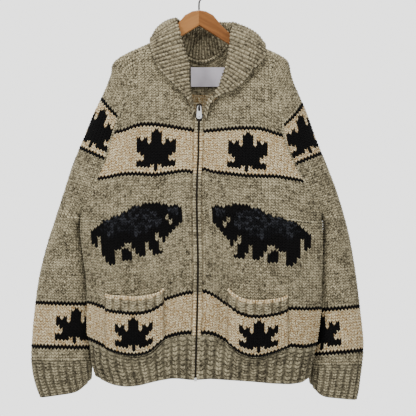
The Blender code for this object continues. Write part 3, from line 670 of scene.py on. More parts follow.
def knitted(name, outer, inner, chart, per_stitch=(4, 3), finish=body_wool, height=2.8, sink=1.4, sides=None,
            inside=None):
    """A knitted piece: relief on its outer face, a plain inner face a wall's thickness behind."""
    points, outward, relief = outer
    rows, cols = relief.shape
    tension = rng.normal(0, 0.10, (rows // per_stitch[1] + 2, cols // per_stitch[0] + 2))
    uneven = tension[np.arange(rows) // per_stitch[1]][:, np.arange(cols) // per_stitch[0]]
    lift = relief * height * (1 + uneven * (relief > 0.02)) - sink
    piece = laid_grid(name, points + outward * lift[..., None], outward, per_stitch, chart, relief, finish)
    points, outward = inner[:2]
    lining = laid_grid(name + "_lining", points - outward * WALL, outward, (1, 1),
                       chart if inside is None else inside, None, finish)
    return line_piece(piece, lining, per_stitch, sides)


EDGE_CORD, SEAM_CORD = 3.3, 2.4
EDGE_PITCH, SEAM_PITCH = 6.5, 5.5


def chain_cord(name, path, facing, radius, yarns=None, finish=body_wool, pitch=EDGE_PITCH):
    """A column of edge stitches that stands up as a cord along a path in millimetres."""
    run = run_of(path)
    rows = max(round(run[-1] / pitch), 3) * 4 + 1
    at = np.linspace(0, run[-1], rows)
    line, out = (resampled(q, run, at) for q in (path, facing))
    side = unit(np.cross(unit(np.gradient(line, axis=0)), unit(out)))
    turn = np.linspace(-np.pi, np.pi, 9)[:, None]
    swell = 0.86 + 0.14 * np.sin(np.pi * (np.arange(rows) / 4 % 1 * 0.92 + 0.04)) ** 0.8
    swell[[0, -1]] = 0.004
    around = unit(out)[:, None] * np.cos(turn) + side[:, None] * np.sin(turn)
    # The swell goes in as relief too, so the wool paints shade between the cord's links
    cord, _ = laid_grid(name, line[:, None] + around * (radius * swell)[:, None, None], around, (8, 4), yarns,
                        np.repeat(swell[:, None], 9, 1), finish)
    work = bmesh.new()
    work.from_mesh(cord.data)
    sealed(work, cord)
    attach(cord, "cardigan")
    return cord


def body_chart(kind, pocket=True):
    chart = blank(BODY_COURSES, BODY_WALES)
    for first, past in CREAM_ROWS:
        chart[first:past] = CREAM
    for course in STRIPES:
        chart[course, 1:] = BLACK
        chart[course, 0] = GREY
    work_in(chart, LEAF, 35, 6 if kind < 0 else 8)
    if not pocket:
        work_in(chart, LOW_LEAF, 99, 8 if kind < 0 else 10)
    work_in(chart, BISON, 61, 4, mirror=True)
    return chart


def cloth(name, piece, slot, flat, area):
    """Puts a piece of knitting into the cardigan and hides the CAD part it takes the place of; flat (its cut) and
    area (the cloth in it) are not used.
    """
    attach(piece, "cardigan")
    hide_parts(name)


BODY_CUTS = {"front_left": ((0.29, 0.71), 0.145), "front_right": ((0.29, 0.71), 0.154), "back": ((0.57, 0.71), 0.297)}
for kind, name in ((-1, "front_left"), (1, "front_right"), (0, "back")):
    chart, inside = body_chart(kind), None
    if kind == 0:
        chart = np.concatenate([body_chart(-1, False)[:, ::-1], body_chart(1, False)], 1)
        chart[list(STRIPES)] = BLACK
        inside = chart.copy()
        inside[16:34, 22:52] = CREAM  # cream carried up behind the neck
    piece = knitted(name + "_knit", body_piece(kind, 4, 3), body_piece(kind, 1, 1, False), chart, inside=inside)
    cloth(name, piece, "wool", *BODY_CUTS[name])

for side, name in ((-1, "left"), (1, "right")):
    z = np.linspace(-319, -888, 200)
    x = column(ZIP, 1, z) + side * (ZIP_HALF + 2.3)
    angle = angle_at(x, z)
    bands = np.where(((z < -344) & (z > -428)) | ((z < -697) & (z > -786)), CREAM, GREY)
    number = round(run_of(torso(angle, z))[-1] / EDGE_PITCH)
    yarns = np.where(np.interp(np.arange(number), np.linspace(0, number, 200), bands) > 1, CREAM, GREY)[:, None]
    chain_cord("zip_edge_" + name, torso(angle, z) + torso_normal(angle, z) * 0.4, torso_normal(angle, z), EDGE_CORD,
               yarns)
    z = np.linspace(-132, -520, 120)
    for face, seam in (("front", side), ("back", 0)):
        angles = side * raglan(seam, z)
        out = torso_normal(angles, z)
        chain_cord("raglan_seam_" + face + "_" + name, torso(angles, z) + out * 0.2, out, SEAM_CORD, pitch=SEAM_PITCH)

# ---------------------------------------------------------------- sleeves
# Each sleeve is knitted up from the cuff and narrows to the neck along its raglans. Its own
# cream bands sit beside those of the body, and it is sewn under the arm and to the body.

# Shoulders and sleeves seen from the front: height, outer edge left, outer edge right
OUTLINE = np.array([
    (-112, -69, 77),
    (-130, -88, 97),
    (-148, -113, 126),
    (-161, -142, 153),
    (-172, -165, 176),
    (-183, -182, 193),
    (-194, -191, 199),
    (-209, -193, 202),
    (-229, -199, 207),
    (-262, -213, 221),
    (-299, -231, 237),
    (-350, -252, 255),
    (-416, -279, 282),
    (-471, -297, 303),
    (-533, -317, 322),
    (-572, -330, 332),
    (-614, -342, 340),
    (-665, -354, 348),
    (-713, -361, 354),
    (-757, -366, 359),
    (-810, -370, 364),
    (-849, -371, 362),
    (-885, -366, 357),
    (-915, -357, 353),
    (-940, -346, 347),
], float)

# Sleeve sections: height, half width left, half width right, half depth, middle left, middle right
SLEEVE = np.array([
    (-112, 31, 31, 12, 0, 0),
    (-130, 42, 42, 18, 0, 0),
    (-148, 51, 51, 24, 0, 0),
    (-183, 66, 66, 32, 0, 0),
    (-229, 79, 79, 37, 0, 0),
    (-299, 90, 90, 41, 1, 1),
    (-416, 73, 73, 39, 4, 4),
    (-471, 54, 56, 37, 6, 6),
    (-504, 38, 39, 36, 8, 8),
    (-522, 30, 30, 36, 10, 10),
    (-533, 27.5, 25, 36, 12, 12),
    (-550, 29.5, 26, 36, 14, 15),
    (-572, 34, 29.5, 36, 16, 18),
    (-614, 45.5, 37, 35, 19, 23),
    (-665, 55, 44, 34, 20, 27),
    (-713, 60.5, 48.5, 33, 20, 28),
    (-757, 64, 52.5, 32, 20, 28),
    (-819, 67, 58.5, 30, 19, 25),
    (-849, 67, 59, 27, 17, 22),
    (-885, 64, 56.5, 25, 15, 19),
    (-915, 57, 53, 23, 14, 17),
    (-940, 50, 49, 22, 13, 16),
], float)
# Sleeve creases: side, height at the outer edge, drop across, half width, depth
CREASES = (
    (-1, -430, -60, 26, -3.0), (-1, -590, 40, 24, 3.0), (-1, -640, 50, 16, -3.5),
    (-1, -700, 30, 22, 2.5), (-1, -800, 24, 18, 3.0),
    (1, -450, -60, 26, -3.0), (1, -600, 44, 22, 3.0), (1, -655, 52, 16, -3.5),
    (1, -720, 36, 22, 2.5), (1, -812, 24, 18, 3.0),
)
SLEEVE_WALES, SLEEVE_COURSES, SLEEVE_STITCH = 44, 127, 8.0
CUFF_SEAM = {-1: -849.0, 1: -858.0}
# Courses of a sleeve: number, height at the outer fold, height at the seam, for each side
SLEEVE_LINES = {
    -1: np.array([(0, -124, -124), (5, -140, -152), (12, -162, -183), (19, -186, -228), (26, -222, -272),
                  (33.5, -268, -310), (50.5, -376, -401.5), (76.5, -533, -538), (107.5, -719, -722),
                  (122.5, -815, -818), (127, -849, -849)], float),
    1: np.array([(0, -124, -124), (5, -140, -152), (12, -162, -186), (19, -187, -236), (26, -228, -285),
                 (33.5, -280, -329.5), (50.5, -388.5, -412.7), (76.5, -540, -548), (107.5, -727.5, -736),
                 (122.5, -824, -834), (127, -858, -858)], float),
}


def sleeve_row(side, z, turn=None):
    """Points round a sleeve or its cap from the front seam round the outside to the back seam."""
    t = np.linspace(0, 1, 181) if turn is None else turn
    z = np.broadcast_to(z, t.shape).astype(float)
    half, deep, middle = (column(SLEEVE, k, z) for k in ((1, 3, 4) if side < 0 else (2, 3, 5)))
    out = column(OUTLINE, 1 if side < 0 else 2, z)
    centre = out - side * half

    def oval(a):
        grown = 0.0
        for face, level, drop, width, depth in CREASES:
            if face == side:
                at = level + drop * (0.5 + 0.5 * np.cos(a))
                grown = grown + depth * np.exp(-(((z - at) / width) ** 2)) * np.sin(a) ** 2
        return np.stack([centre - side * half * np.cos(a), middle - (deep + grown) * np.sin(a), z], -1)

    if z[0] < UNDERARM - 0.1:
        return oval(2 * np.pi * t)
    front, back = (torso(side * raglan(face, z[0]), z[0]) for face in (side, 0))
    first = np.arccos(np.clip(side * (centre[0] - front[0]) / half[0], -1, 1))
    last = 2 * np.pi - np.arccos(np.clip(side * (centre[0] - back[0]) / half[0], -1, 1))
    p = oval(first + (last - first) * t)
    near_front = np.clip(1 - t / 0.42, 0, 1) ** 2
    near_back = np.clip(1 - (1 - t) / 0.42, 0, 1) ** 2
    return p + (front - p[0]) * near_front[:, None] + (back - p[-1]) * near_back[:, None]


def spread(points, count):
    run = run_of(points)
    return resampled(points, run, np.linspace(0, run[-1], count + 1))


def grid_normal(p, sign):
    across = np.gradient(p, axis=1)
    down = np.gradient(p, axis=0)
    return sign * unit(np.cross(across, down))


SLEEVE_LEVELS = np.concatenate([np.arange(-124, UNDERARM, -3.0), [UNDERARM], np.arange(-545, -862, -3.0)])
skins = {}
for side in (-1, 1):
    skin = np.array([sleeve_row(side, z) for z in SLEEVE_LEVELS])
    facing = grid_normal(skin, 1)
    if ((skin[-9] - skin[-9].mean(axis=0)) * facing[-9]).sum() < 0:
        facing = -facing
    above = SLEEVE_LEVELS >= UNDERARM
    facing[~above, 0] = facing[~above, -1] = unit(facing[~above, 0] + facing[~above, -1])
    for end, face in ((0, side), (-1, 0)):
        facing[above, end] = seam_direction(side * raglan(face, SLEEVE_LEVELS[above]), SLEEVE_LEVELS[above])
    skins[side] = skin, facing


def on_sleeve(side, t, z):
    """Point and outward direction of a sleeve at a share t round it and a height."""
    level = np.interp(-z, -SLEEVE_LEVELS, np.arange(len(SLEEVE_LEVELS)))
    i = np.clip(level.astype(int), 0, len(SLEEVE_LEVELS) - 2)
    j = np.clip((t * 180).astype(int), 0, 179)
    fi, fj = (level - i)[..., None], (t * 180 - j)[..., None]
    made = []
    for grid in skins[side]:
        made.append((grid[i, j] * (1 - fj) + grid[i, j + 1] * fj) * (1 - fi)
                    + (grid[i + 1, j] * (1 - fj) + grid[i + 1, j + 1] * fj) * fi)
    return made[0], unit(made[1])


def sleeve_height(side, course, share):
    """Height of a course; share is 1 at the outer fold and 0 at the seams."""
    lines = SLEEVE_LINES[side]
    outer, inner = (np.interp(course, lines[:, 0], lines[:, k]) for k in (1, 2))
    return inner + (outer - inner) * share


def sleeve_piece(side, across, along, chevron=True):
    s = np.arange(SLEEVE_WALES * across + 1) / across
    t = np.linspace(0, 1, 121)
    turns, heights, relief = [], [], []
    for k in range(SLEEVE_COURSES * along + 1):
        course = k / along
        row = on_sleeve(side, t, np.full(121, sleeve_height(side, course, 0.5)))[0]
        x = np.abs(row[:, 0])
        seam = np.where(t < 0.5, x[0], x[-1])
        share = np.clip((x - seam) / np.maximum(x.max() - seam, 1), 0, 1)
        run = run_of(on_sleeve(side, t, sleeve_height(side, course, share))[0])
        at = run[60] + (s - SLEEVE_WALES / 2) * SLEEVE_STITCH
        free = (at > 0.3) & (at < run[-1] - 0.3)
        turn = np.interp(at, run, t)
        rise, u = knit_relief(s, np.full(len(s), course))
        shift = np.where(free, v_shape(u), 0) * min(1, course / 2, (SLEEVE_COURSES - course) / 2)
        turns.append(turn)
        heights.append(sleeve_height(side, course + (shift if chevron else 0), np.interp(turn, t, share)))
        relief.append(np.where(free, rise, 0.0))
    return (*on_sleeve(side, np.array(turns), np.array(heights)), np.array(relief))


SLEEVE_CUTS = {"sleeve_left": ((0.31, 0.76), 0.145), "sleeve_right": ((0.28, 0.76), 0.136)}
for side, name in ((-1, "sleeve_left"), (1, "sleeve_right")):
    chart = blank(SLEEVE_COURSES, SLEEVE_WALES)
    for first, past in ((34, 50), (108, 122)):
        chart[first:past] = CREAM
    for course in (33, 50, 107, 122):
        chart[course] = BLACK
    middle = SLEEVE_WALES // 2
    for motif, course, wale in ((LEAF, 35, -10), (LOW_LEAF, 109, -19), (LEAF, 35, 6), (LOW_LEAF, 109, 8)):
        work_in(chart, motif, course, middle + wale)
    piece = knitted(name + "_knit", sleeve_piece(side, 4, 3), sleeve_piece(side, 1, 1, False), chart, sides=76)
    cloth(name, piece, "wool", *SLEEVE_CUTS[name])

# ---------------------------------------------------------------- hems and cuffs
# The lower edges and the cuffs are knitted in a wide rib of single columns of plain stitches
# that stand out between sunken purls, so they draw the cloth in. They hang free at their foot.

RIB_STEPS = [0, 0.34, 0.62, 0.86, 1.0]  # across a rib, from its middle to its valley
RIB_HEIGHT, RIB_SINK, RIB_FOOT = 3.6, 0.9, -2.2
CUFF_END = {-1: (-931.0, 8.0, 28.0), 1: (-936.0, 5.0, 30.0)}  # outer end, rise to the middle, rise at the inside
# The ribs' heather is less mottled than the body's, and its light grey is darker as painted shade for the low-hanging
# cuffs and hem; their gaps and valleys take a deeper painted shade
rib_wool = wool("rib_wool", rgb(188, 177, 144), rgb(54, 47, 35), 0.34, rgb(44, 38, 29), 0.55)


def ribbed(name, base, outward, lining, lining_outward, across, sides=None):
    """Ribs as columns of V stitches with deep valleys, on points that are (rows, ribs * across + 1)."""
    rows, cols = base.shape[:2]
    wale = np.arange(cols) / across
    u = from_middle(wale)
    profile = np.interp(u, RIB_STEPS, [0.62, 1.0, 0.42, 0.04, 0.0])
    bead = 0.62 + 0.38 * swelling(np.arange(rows) / 3) ** 0.7
    grown = ease(np.arange(rows) / 9)[:, None]
    relief = bead[:, None] * (profile * grown + 0.6 * (1 - grown))
    ends = np.ones(rows)
    ends[-1] = 0
    lift = relief * RIB_HEIGHT * ends[:, None] - RIB_SINK
    lift[-1] = RIB_FOOT
    chevron = np.interp(u, [0, 0.5, 0.8, 1], [0.5, -0.35, -0.6, -0.1]) / 3
    lead = np.gradient(base, axis=0)
    fade = np.clip(np.minimum(np.arange(rows), np.arange(rows)[::-1]) / 3, 0, 1)[:, None]
    moved = base + lead * (chevron * 3)[None, :, None] * fade[..., None] + outward * lift[..., None]
    piece = laid_grid(name, moved, outward, (across, 3), None, relief, rib_wool)
    inner = laid_grid(name + "_lining", lining - lining_outward * WALL, lining_outward, (2, 1), None, None, rib_wool)
    return line_piece(piece, inner, (across // 2, 3), sides)


def hem_rows(kind, cols, rows):
    """Points of a hem from its seam down to its end."""
    behind = kind == 0
    full = np.linspace(0, 1, cols)
    start = float(angle_at(front_edge(kind, HEM_SEAM), HEM_SEAM)) if kind else 0
    dense = np.linspace(start, kind * SIDE_SEAM, 161) if kind else np.linspace(-93, -267, 241)
    run = run_of(torso(dense, HEM_SEAM))
    angle = np.interp(full * run[-1], run, dense)
    top = course_height(BODY_COURSES, torso(angle, HEM_SEAM)[:, 0], behind)
    ends = torso(np.array([-SIDE_SEAM, SIDE_SEAM]), -880)[:, 0]
    bottom = hem_line(HEM_END, torso(angle, -880.0)[:, 0], behind, ends)
    points = []
    for share in np.linspace(0, 1, rows):
        z = top + (bottom - top) * share
        here = angle
        if kind:
            at_zip = angle_at(front_edge(kind, z[0]), z[0])
            here = angle + (at_zip - angle[0]) * (1 - full)
        points.append(np.stack([here, z], -1))
    points = np.array(points)
    return torso(points[..., 0], points[..., 1]), torso_normal(points[..., 0], points[..., 1])


RIB_CUTS = {
    "hem_back": ((0.55, 0.08), 0.0406), "hem_front_left": ((0.27, 0.08), 0.0207),
    "hem_front_right": ((0.28, 0.08), 0.0218), "cuff_left": ((0.3, 0.08), 0.0219),
    "cuff_right": ((0.28, 0.08), 0.0195),
}
for kind, name, ribs in ((-1, "hem_front_left", 14), (1, "hem_front_right", 14), (0, "hem_back", 27)):
    piece = ribbed(name + "_knit", *hem_rows(kind, ribs * 10 + 1, 28), *hem_rows(kind, ribs * 2 + 1, 10), 10)
    cloth(name, piece, "rib_wool", *RIB_CUTS[name])


def cuff_rows(side, cols, rows):
    low, slope, inside = CUFF_END[side]
    turn = np.linspace(0, 1, 181)
    c = np.cos(2 * np.pi * turn)
    end = low + slope * (c + 1) + np.where(c > 0, inside * c**4, 0)
    points = np.array([spread(sleeve_row(side, CUFF_SEAM[side] + (end - CUFF_SEAM[side]) * share, turn), cols - 1)
                       for share in np.linspace(0, 1, rows)])
    outward = grid_normal(points, 1)
    outward[:, 0] = outward[:, -1] = unit(outward[:, 0] + outward[:, -1])
    if ((points[1] - points[1].mean(axis=0)) * outward[1]).sum() < 0:
        outward = -outward
    return points, outward


for side, name in ((-1, "cuff_left"), (1, "cuff_right")):
    piece = ribbed(name + "_knit", *cuff_rows(side, 181, 37), *cuff_rows(side, 37, 13), 10, 0)
    cloth(name, piece, "rib_wool", *RIB_CUTS[name])

# ---------------------------------------------------------------- collar
# The shawl collar is one long garter-stitch strip, knitted crosswise so that its ridges run
# from the neck seam to the outer edge. It is sewn round the neck and rolls over on itself.

# Shawl collar stations from the left end round the neck to the right end.
# side (-1 lies on the front, 0 free), edge x z y, roll x z y, seam x z y, swell of the leaf.
# On side -1 the y columns are distances outwards from the front's own surface.
COLLAR = np.array([
    (-1, -14, -311, 6.6, -9.0, -298, 3.0, -12.3, -306, -5.0, 0),
    (-1, -22, -279, 6.9, -15.0, -269, 3.2, -19.0, -277, -5.0, 0.5),
    (-1, -39.5, -256, 7.2, -18.4, -250, 3.2, -25.0, -253, -5.0, 1.5),
    (-1, -60, -235, 7.6, -20.2, -226, 3.4, -28.0, -229, -5.0, 3),
    (-1, -82, -213, 7.8, -19.8, -198, 3.6, -29.5, -201, -5.0, 4),
    (-1, -97, -190, 8.0, -27.0, -170, 3.8, -38.5, -173, -5.0, 5),
    (-1, -105.5, -167, 8.6, -35.0, -144, 5.0, -53, -152, -5.0, 6),
    (0, -110, -149, -21, -42, -116, -22, -67, -131, -12, 7),
    (0, -108, -136, 6, -49, -91, 2, -72, -110, 3, 9),
    (0, -94, -158, 33, -40, -94, 24, -62, -140, 15.5, 5),
    (0, -58, -190, 42, -20, -97, 33, -33, -170, 21.5, 3),
    (0, 6, -201, 44, 5, -98, 35, 6, -183.6, 22.3, 3),
    (0, 72, -190, 42, 38, -97, 33, 44, -168, 21.5, 3),
    (0, 115, -162, 33, 63, -98, 24, 68, -140, 15.5, 5),
    (0, 144, -146, 6, 76, -101, 2, 77, -113, 3, 9),
    (0, 149, -163, -22, 69.5, -122, -22, 76, -134, -12, 7),
    (-1, 144, -183, 8.6, 66.5, -148, 5.0, 74, -154, -5.0, 6),
    (-1, 124, -203, 8.0, 62, -172, 3.8, 70.5, -177, -5.0, 5),
    (-1, 103, -229, 7.8, 56.5, -199, 3.6, 63, -204, -5.0, 4),
    (-1, 80, -250, 7.6, 47.5, -224, 3.4, 54, -229, -5.0, 3),
    (-1, 57, -259, 7.4, 41.5, -242, 3.2, 47.5, -246, -5.0, 1.5),
    (-1, 37, -270, 7.2, 28.5, -260, 3.2, 34, -265, -5.0, 1),
    (-1, 24, -287, 6.9, 15.5, -277, 3.2, 19.5, -284, -5.0, 0.5),
    (-1, 16.5, -318, 6.6, 10.5, -304, 3.0, 14.0, -311, -5.0, 0),
], float)
ROLL = 7.6
COLLAR_WALL = 5.6
GARTER_PITCH, COLLAR_STITCH, GARTER_HEIGHT, GARTER_SINK = 9.6, 7.0, 3.6, 1.6
# Its last colour is the painted shade for the collar's gaps and hollows
collar_wool = wool("collar_wool", rgb(206, 194, 160), rgb(48, 42, 30), 0.45, rgb(80, 68, 52))


def collar_grid(rows):
    k = np.arange(len(COLLAR), dtype=float)
    placed = []
    for first in (1, 4, 7):
        x, z, y = COLLAR[:, first], COLLAR[:, first + 1], COLLAR[:, first + 2]
        lying = torso(angle_at(x, z), z)[:, 1] - y
        placed.append(np.stack([x, np.where(COLLAR[:, 0] < 0, lying, y), z], -1))
    run = run_of(placed[0] * 0.5 + placed[1] * 0.5)
    at = np.interp(np.linspace(0, run[-1], rows), run, k)
    edge, roll, seam = (np.stack([smooth(at, k, q[:, c]) for c in range(3)], -1) for q in placed)
    swell = smooth(at, k, COLLAR[:, 10])[:, None]
    along = unit(unit(edge - roll) + unit(seam - roll))
    out = edge - seam
    out = unit(out - along * (out * along).sum(-1, keepdims=True))
    front = roll + ROLL * (along + out)
    rear = roll + ROLL * (along - out)
    lean = [edge + (front - edge) * t + out * swell * 4 * t * (1 - t) for t in (0.36, 0.72)]
    return np.stack([edge, *lean, front, roll + along * 1.0, rear, seam], axis=1)


def collar_piece(along, step, ridged=True):
    """Points, directions and relief by garter ridge along the collar and stitch across it."""
    ridges = int(round(run_of(collar_grid(200)[:, 1])[-1] / GARTER_PITCH))
    rough = collar_grid(ridges * along + 1)
    k = np.linspace(0, 6, 61)
    dense = np.array([[smooth(k, np.arange(7.0), row[:, c]) for c in range(3)] for row in rough]).transpose(0, 2, 1)
    facing = grid_normal(dense, 1)
    if facing[len(facing) // 4, :20, 1].sum() > 0:
        facing = -facing
    s = np.arange(int(230 / COLLAR_STITCH) * step + 1) / step
    points, outward, relief = [], [], []
    for number, (row, out) in enumerate(zip(dense, facing)):
        run = run_of(row)
        at = np.clip(s * COLLAR_STITCH, 0, run[-1])
        points.append(resampled(row, run, at))
        outward.append(resampled(out, run, at))
        p = number / along
        ridge = np.sin(np.pi * (p - math.floor(p))) ** 1.2
        lump = 0.62 + 0.38 * np.cos(2 * np.pi * (s + 0.5 * (math.floor(p) % 2)))
        selvedge = np.exp(-(((at - 3.4) / 2.6) ** 2)) * (0.8 + 0.2 * ridge) * np.clip(at / 1.5, 0, 1)
        relief.append(np.maximum(ridge * lump * np.clip((at - 5) / 3, 0, 1) * np.clip((run[-1] - at) / 6, 0, 1),
                                 selvedge))
    return np.array(points), unit(np.array(outward)), np.array(relief)


points, outward, relief = collar_piece(4, 3)
lift = (relief * GARTER_HEIGHT - GARTER_SINK)[..., None]
collar = laid_grid("collar_knit", points + outward * lift, outward, (3, 4), None, relief, collar_wool)
points, outward, relief = collar_piece(1, 1)
lining = laid_grid("collar_lining", points - outward * COLLAR_WALL, outward, (1, 1), None, None, collar_wool)
cloth("collar", line_piece(collar, lining, (3, 4)), "rib_wool", (0.68, 0.15), 0.067)
inside = COLLAR[8:15]
at = np.linspace(0, 6, 90)
path = np.stack([smooth(at, np.arange(7.0), inside[:, k]) for k in (7, 9, 8)], -1) + (0, -0.6, -3.4)
chain_cord("neck_seam", path, np.tile((0.0, -1.0, 0.0), (90, 1)), 3.5, None, collar_wool)

# ---------------------------------------------------------------- pockets
# Two patch pockets are knitted to continue the lower band and its leaf. Each ends in a ribbed
# border with a rolled cream edge, and is sewn to its front at both sides and at the foot.

POCKETS = {"left": (-206, -78, -702, -708, -688), "right": (64, 196, -688, -716, -704)}
POCKET_WALES, POCKET_COURSES = 17, 21


def pocket_piece(name, across, along, chevron=True):
    left, right, top_left, top_mid, top_right = POCKETS[name]
    s = np.arange(POCKET_WALES * across + 1) / across
    points, outward, relief = [], [], []
    for k in range(POCKET_COURSES * along + 1):
        course = k / along
        rise, u = knit_relief(s, np.full(len(s), course))
        if course < 5:
            wale = s / POCKET_WALES * 7
            u = from_middle(wale)
            rise = np.interp(u, RIB_STEPS, [0.62, 1.0, 0.62, 0.1, 0.0]) * (0.6 + 0.4 * rise)
        fade = min(1, course / 2, POCKET_COURSES - course)
        here = course + v_shape(u) * fade * chevron
        share = s / POCKET_WALES
        x = left + (right - left) * share
        sag = [top_left, top_left * 0.5 + top_mid * 0.5, top_mid + 2, top_mid, top_mid + 2,
               top_right * 0.5 + top_mid * 0.5, top_right]
        top = smooth(share, np.array([0, 0.1, 0.3, 0.5, 0.7, 0.9, 1]), np.array(sag))
        bottom = smooth(x, HEM_TOP[:, 0], HEM_TOP[:, 1]) + 3
        down = here / POCKET_COURSES
        z = top + (bottom - top) * down
        angle = angle_at(x, z)
        out = torso_normal(angle, z)
        open_ = np.interp(down, [0, 0.22, 0.5, 0.8, 1], [1, 0.98, 0.75, 0.4, 0])
        clear = 0.6 + 13 * open_ * np.sin(np.pi * np.clip(share, 0, 1)) ** 0.8
        points.append(torso(angle, z) + out * (clear + WALL)[:, None])
        outward.append(out)
        side = np.clip(np.minimum(share, 1 - share) * 20, 0, 1)
        relief.append(rise * side)
    return np.array(points), np.array(outward), np.array(relief)


for name in POCKETS:
    chart = blank(POCKET_COURSES, POCKET_WALES)
    chart[6:20] = CREAM
    chart[0] = CREAM
    chart[5] = chart[20] = BLACK
    work_in(chart, LOW_LEAF, 7, 3)
    piece = knitted("pocket_" + name + "_knit", pocket_piece(name, 6, 3), pocket_piece(name, 1, 1, False), chart,
                    (6, 3), height=2.4, sink=0.9)
    points, outward, _ = pocket_piece(name, 1, 1, False)
    chain_cord("pocket_edge_" + name, points[0] - outward[0] * 1.8, outward[0], 3.2, np.array([[CREAM]]))
    cloth("pocket_" + name, piece, "wool", (0.14, 0.14), 0.018)

# ---------------------------------------------------------------- neck label
# A plain woven satin label, left blank, is sewn by its edges inside the back of the neck.

label_cloth = Finish("label_cloth", Roughness=0.55, Sheen_Weight=0.1)
place = label_cloth.place()
weave = label_cloth.node("ShaderNodeTexWave", {"bands_direction": "Z"}, {"Vector": place, "Scale": 420.0,
                         "Distortion": 0.6})
cross = label_cloth.node("ShaderNodeTexWave", {"bands_direction": "X"}, {"Vector": place, "Scale": 420.0,
                         "Distortion": 0.6})
cloud = label_cloth.noise(place, 60.0, 3.0, 0.5)
label_cloth.set(Base_Color=label_cloth.blend(cloud, rgb(214, 206, 216), rgb(236, 230, 238)),
                Normal=label_cloth.bump(0.3, 0.0003, weave * 0.5 + cross * 0.5))
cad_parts["neck_label"].data.materials[0] = label_cloth.material

# ---------------------------------------------------------------- zip
# The zip is a dark woven tape and a plain dark metal chain behind the edges of the fronts, with a
# dark slider and a silver tab. It is closed up to the collar and ended by a small metal box.

tape_cloth = Finish("tape_cloth", Roughness=0.85)
place = tape_cloth.place()
twill = tape_cloth.node("ShaderNodeTexWave", {"bands_direction": "DIAGONAL"}, {"Vector": place, "Scale": 500.0})
tape_cloth.set(Base_Color=tape_cloth.blend(twill, rgb(58, 53, 44), rgb(88, 81, 68)),
               Normal=tape_cloth.bump(0.4, 0.0003, twill))


def metal(name, tone, bright, rough, share=1.0):
    f = Finish(name, Metallic=share)
    where = f.place()
    wear = f.noise(where, 420.0, 4.0, 0.6)
    f.set(Base_Color=f.blend(wear, tone, bright), Roughness=wear * 0.25 + rough,
          Normal=f.bump(0.15, 0.0002, wear))
    return f.material


dark_metal = metal("dark_metal", rgb(34, 31, 27), rgb(74, 68, 60), 0.45)
silver_metal = metal("silver_metal", rgb(226, 226, 224), rgb(255, 255, 254), 0.2, 0.45)
for name, finish in (("zip_tape_left", tape_cloth.material), ("zip_tape_right", tape_cloth.material),
                     ("zip_chain", dark_metal), ("zip_slider", dark_metal), ("zip_stop", silver_metal),
                     ("zip_pull", silver_metal)):
    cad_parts[name].data.materials[0] = finish

# ---------------------------------------------------------------- hanger
# A plain shaped hanger of varnished wood, in two arms glued at the middle, with a turned wire
# hook. The cardigan hangs on its shoulders.

def varnished(name, tilt, pale, deep):
    """Straight-grained wood whose grain runs along an arm."""
    wood = Finish(name, Coat_Weight=0.2, Coat_Roughness=0.3, Specular_IOR_Level=0.35)
    place = wood.place()
    along = wood.node("ShaderNodeMapping", {}, {"Vector": place, "Rotation": (0.0, tilt, 0.0)})
    long_grain = wood.node("ShaderNodeMapping", {}, {"Vector": along, "Scale": (5.0, 60.0, 60.0)})
    rings = wood.noise(long_grain, 1.6, 4.0, 0.6)
    pores = wood.noise(wood.node("ShaderNodeMapping", {}, {"Vector": along, "Scale": (26.0, 700.0, 700.0)}), 1.0,
                       3.0, 0.6)
    worn = wood.noise(place, 30.0)
    wood.set(Base_Color=wood.blend(pores * 0.35, wood.blend(wood.between(rings, 0.3, 0.7), deep, pale),
                                   rgb(96, 52, 18)),
             Roughness=pores * 0.2 + worn * 0.1 + 0.28,
             Normal=wood.bump(0.15, 0.0003, pores))
    return wood.material


ARM_SLOPE = 27
# The right arm's wood is painted darker than the left's, as painted shade for the arm that turns away from the light
for side, slope, pale, deep in (("left", ARM_SLOPE, rgb(172, 120, 68), rgb(140, 90, 44)),
                                ("right", -ARM_SLOPE, rgb(146, 94, 46), rgb(112, 68, 30))):
    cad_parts["hanger_arm_" + side].data.materials[0] = varnished(
        "varnished_wood_" + side, math.radians(slope), pale, deep)
GLUE_SIZE, GLUE_BEVEL = (0.0007, 0.0112, 0.0335), 0.00015
bpy.ops.mesh.primitive_cube_add(size=1, location=(0, 0, -0.0905))
glue = bpy.context.object
glue.name = glue.data.name = "hanger_glue_line"
glue.scale = GLUE_SIZE
bpy.ops.object.transform_apply(location=True, rotation=True, scale=True)
bpy.ops.object.mode_set(mode="EDIT")
bpy.ops.mesh.select_all(action="SELECT")
bpy.ops.mesh.bevel(offset=GLUE_BEVEL, segments=1)
bpy.ops.object.mode_set(mode="OBJECT")
glue.select_set(False)
glue.data.materials.append(varnished("glued_joint", 0.0, rgb(120, 76, 38), rgb(92, 54, 24)))
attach(glue, "cardigan")
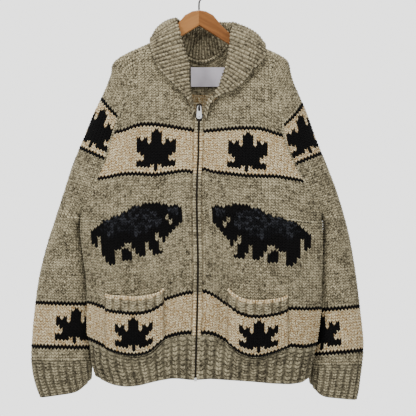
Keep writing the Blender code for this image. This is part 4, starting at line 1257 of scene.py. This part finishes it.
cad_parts["hanger_hook"].data.materials[0] = metal("hook_wire", rgb(46, 44, 42), rgb(92, 90, 86), 0.3)

# ---------------------------------------------------------------- room
# A plain pale floor below the hanging cardigan, soft studio light and the camera.

bpy.ops.object.select_all(action="DESELECT")
bpy.ops.mesh.primitive_plane_add(size=5.6, location=(0, 0, -1.25))
floor = bpy.context.object
floor.name = "floor"
paper = Finish("floor_paper", Roughness=0.8)
place = paper.place()
paper.set(Base_Color=paper.blend(paper.noise(place, 3.0), rgb(226, 228, 230), rgb(236, 238, 240)))
floor.data.materials.append(paper.material)


def soft_light(name, place, aim, size, watts):
    bpy.ops.object.light_add(type="AREA", location=place)
    lamp = bpy.context.object
    lamp.name = name
    lamp.data.shape, lamp.data.size, lamp.data.energy = "DISK", size, watts
    turn = bpy.context.object.location - type(lamp.location)(aim)
    lamp.rotation_euler = turn.to_track_quat("Z", "Y").to_euler()


soft_light("left_soft", (-2.4, -2.6, 1.6), (0, 0, -0.2), 1.2, 92)
soft_light("right_soft", (2.6, -2.4, 1.3), (0, 0, -0.2), 1.2, 50)
soft_light("top_soft", (-0.3, -1.1, 2.4), (0, 0, -0.3), 0.8, 95)
soft_light("back_soft", (0.8, 2.8, 1.2), (0, 0, -0.5), 1.8, 50)
# The room's light comes more from above, and its far wall is bright
room = Finish("pale_room", bpy.data.worlds.new("pale_room"), "Background")
bpy.context.scene.world = room.material
seen = room.node("ShaderNodeLightPath")
up = room.node("ShaderNodeSeparateXYZ", {}, {0: room.node("ShaderNodeTexCoord")}, out=2)
room.set(Color=(0.93, 0.93, 0.92, 1), Strength=seen * 2.6 + (1 - seen) * (room.between(up, -0.7, 0.9) * 0.55 + 0.1))

VIEW_WIDTH = 0.9152  # metres across the view, ten metres away
bpy.ops.object.camera_add(location=(0.0198, -10.05, -0.5106), rotation=(math.pi / 2, 0, 0))
camera = bpy.context.object
camera.data.sensor_width = 36
camera.data.lens = 36 * 10.0 / VIEW_WIDTH
camera.data.clip_end = 60
bpy.context.scene.camera = camera
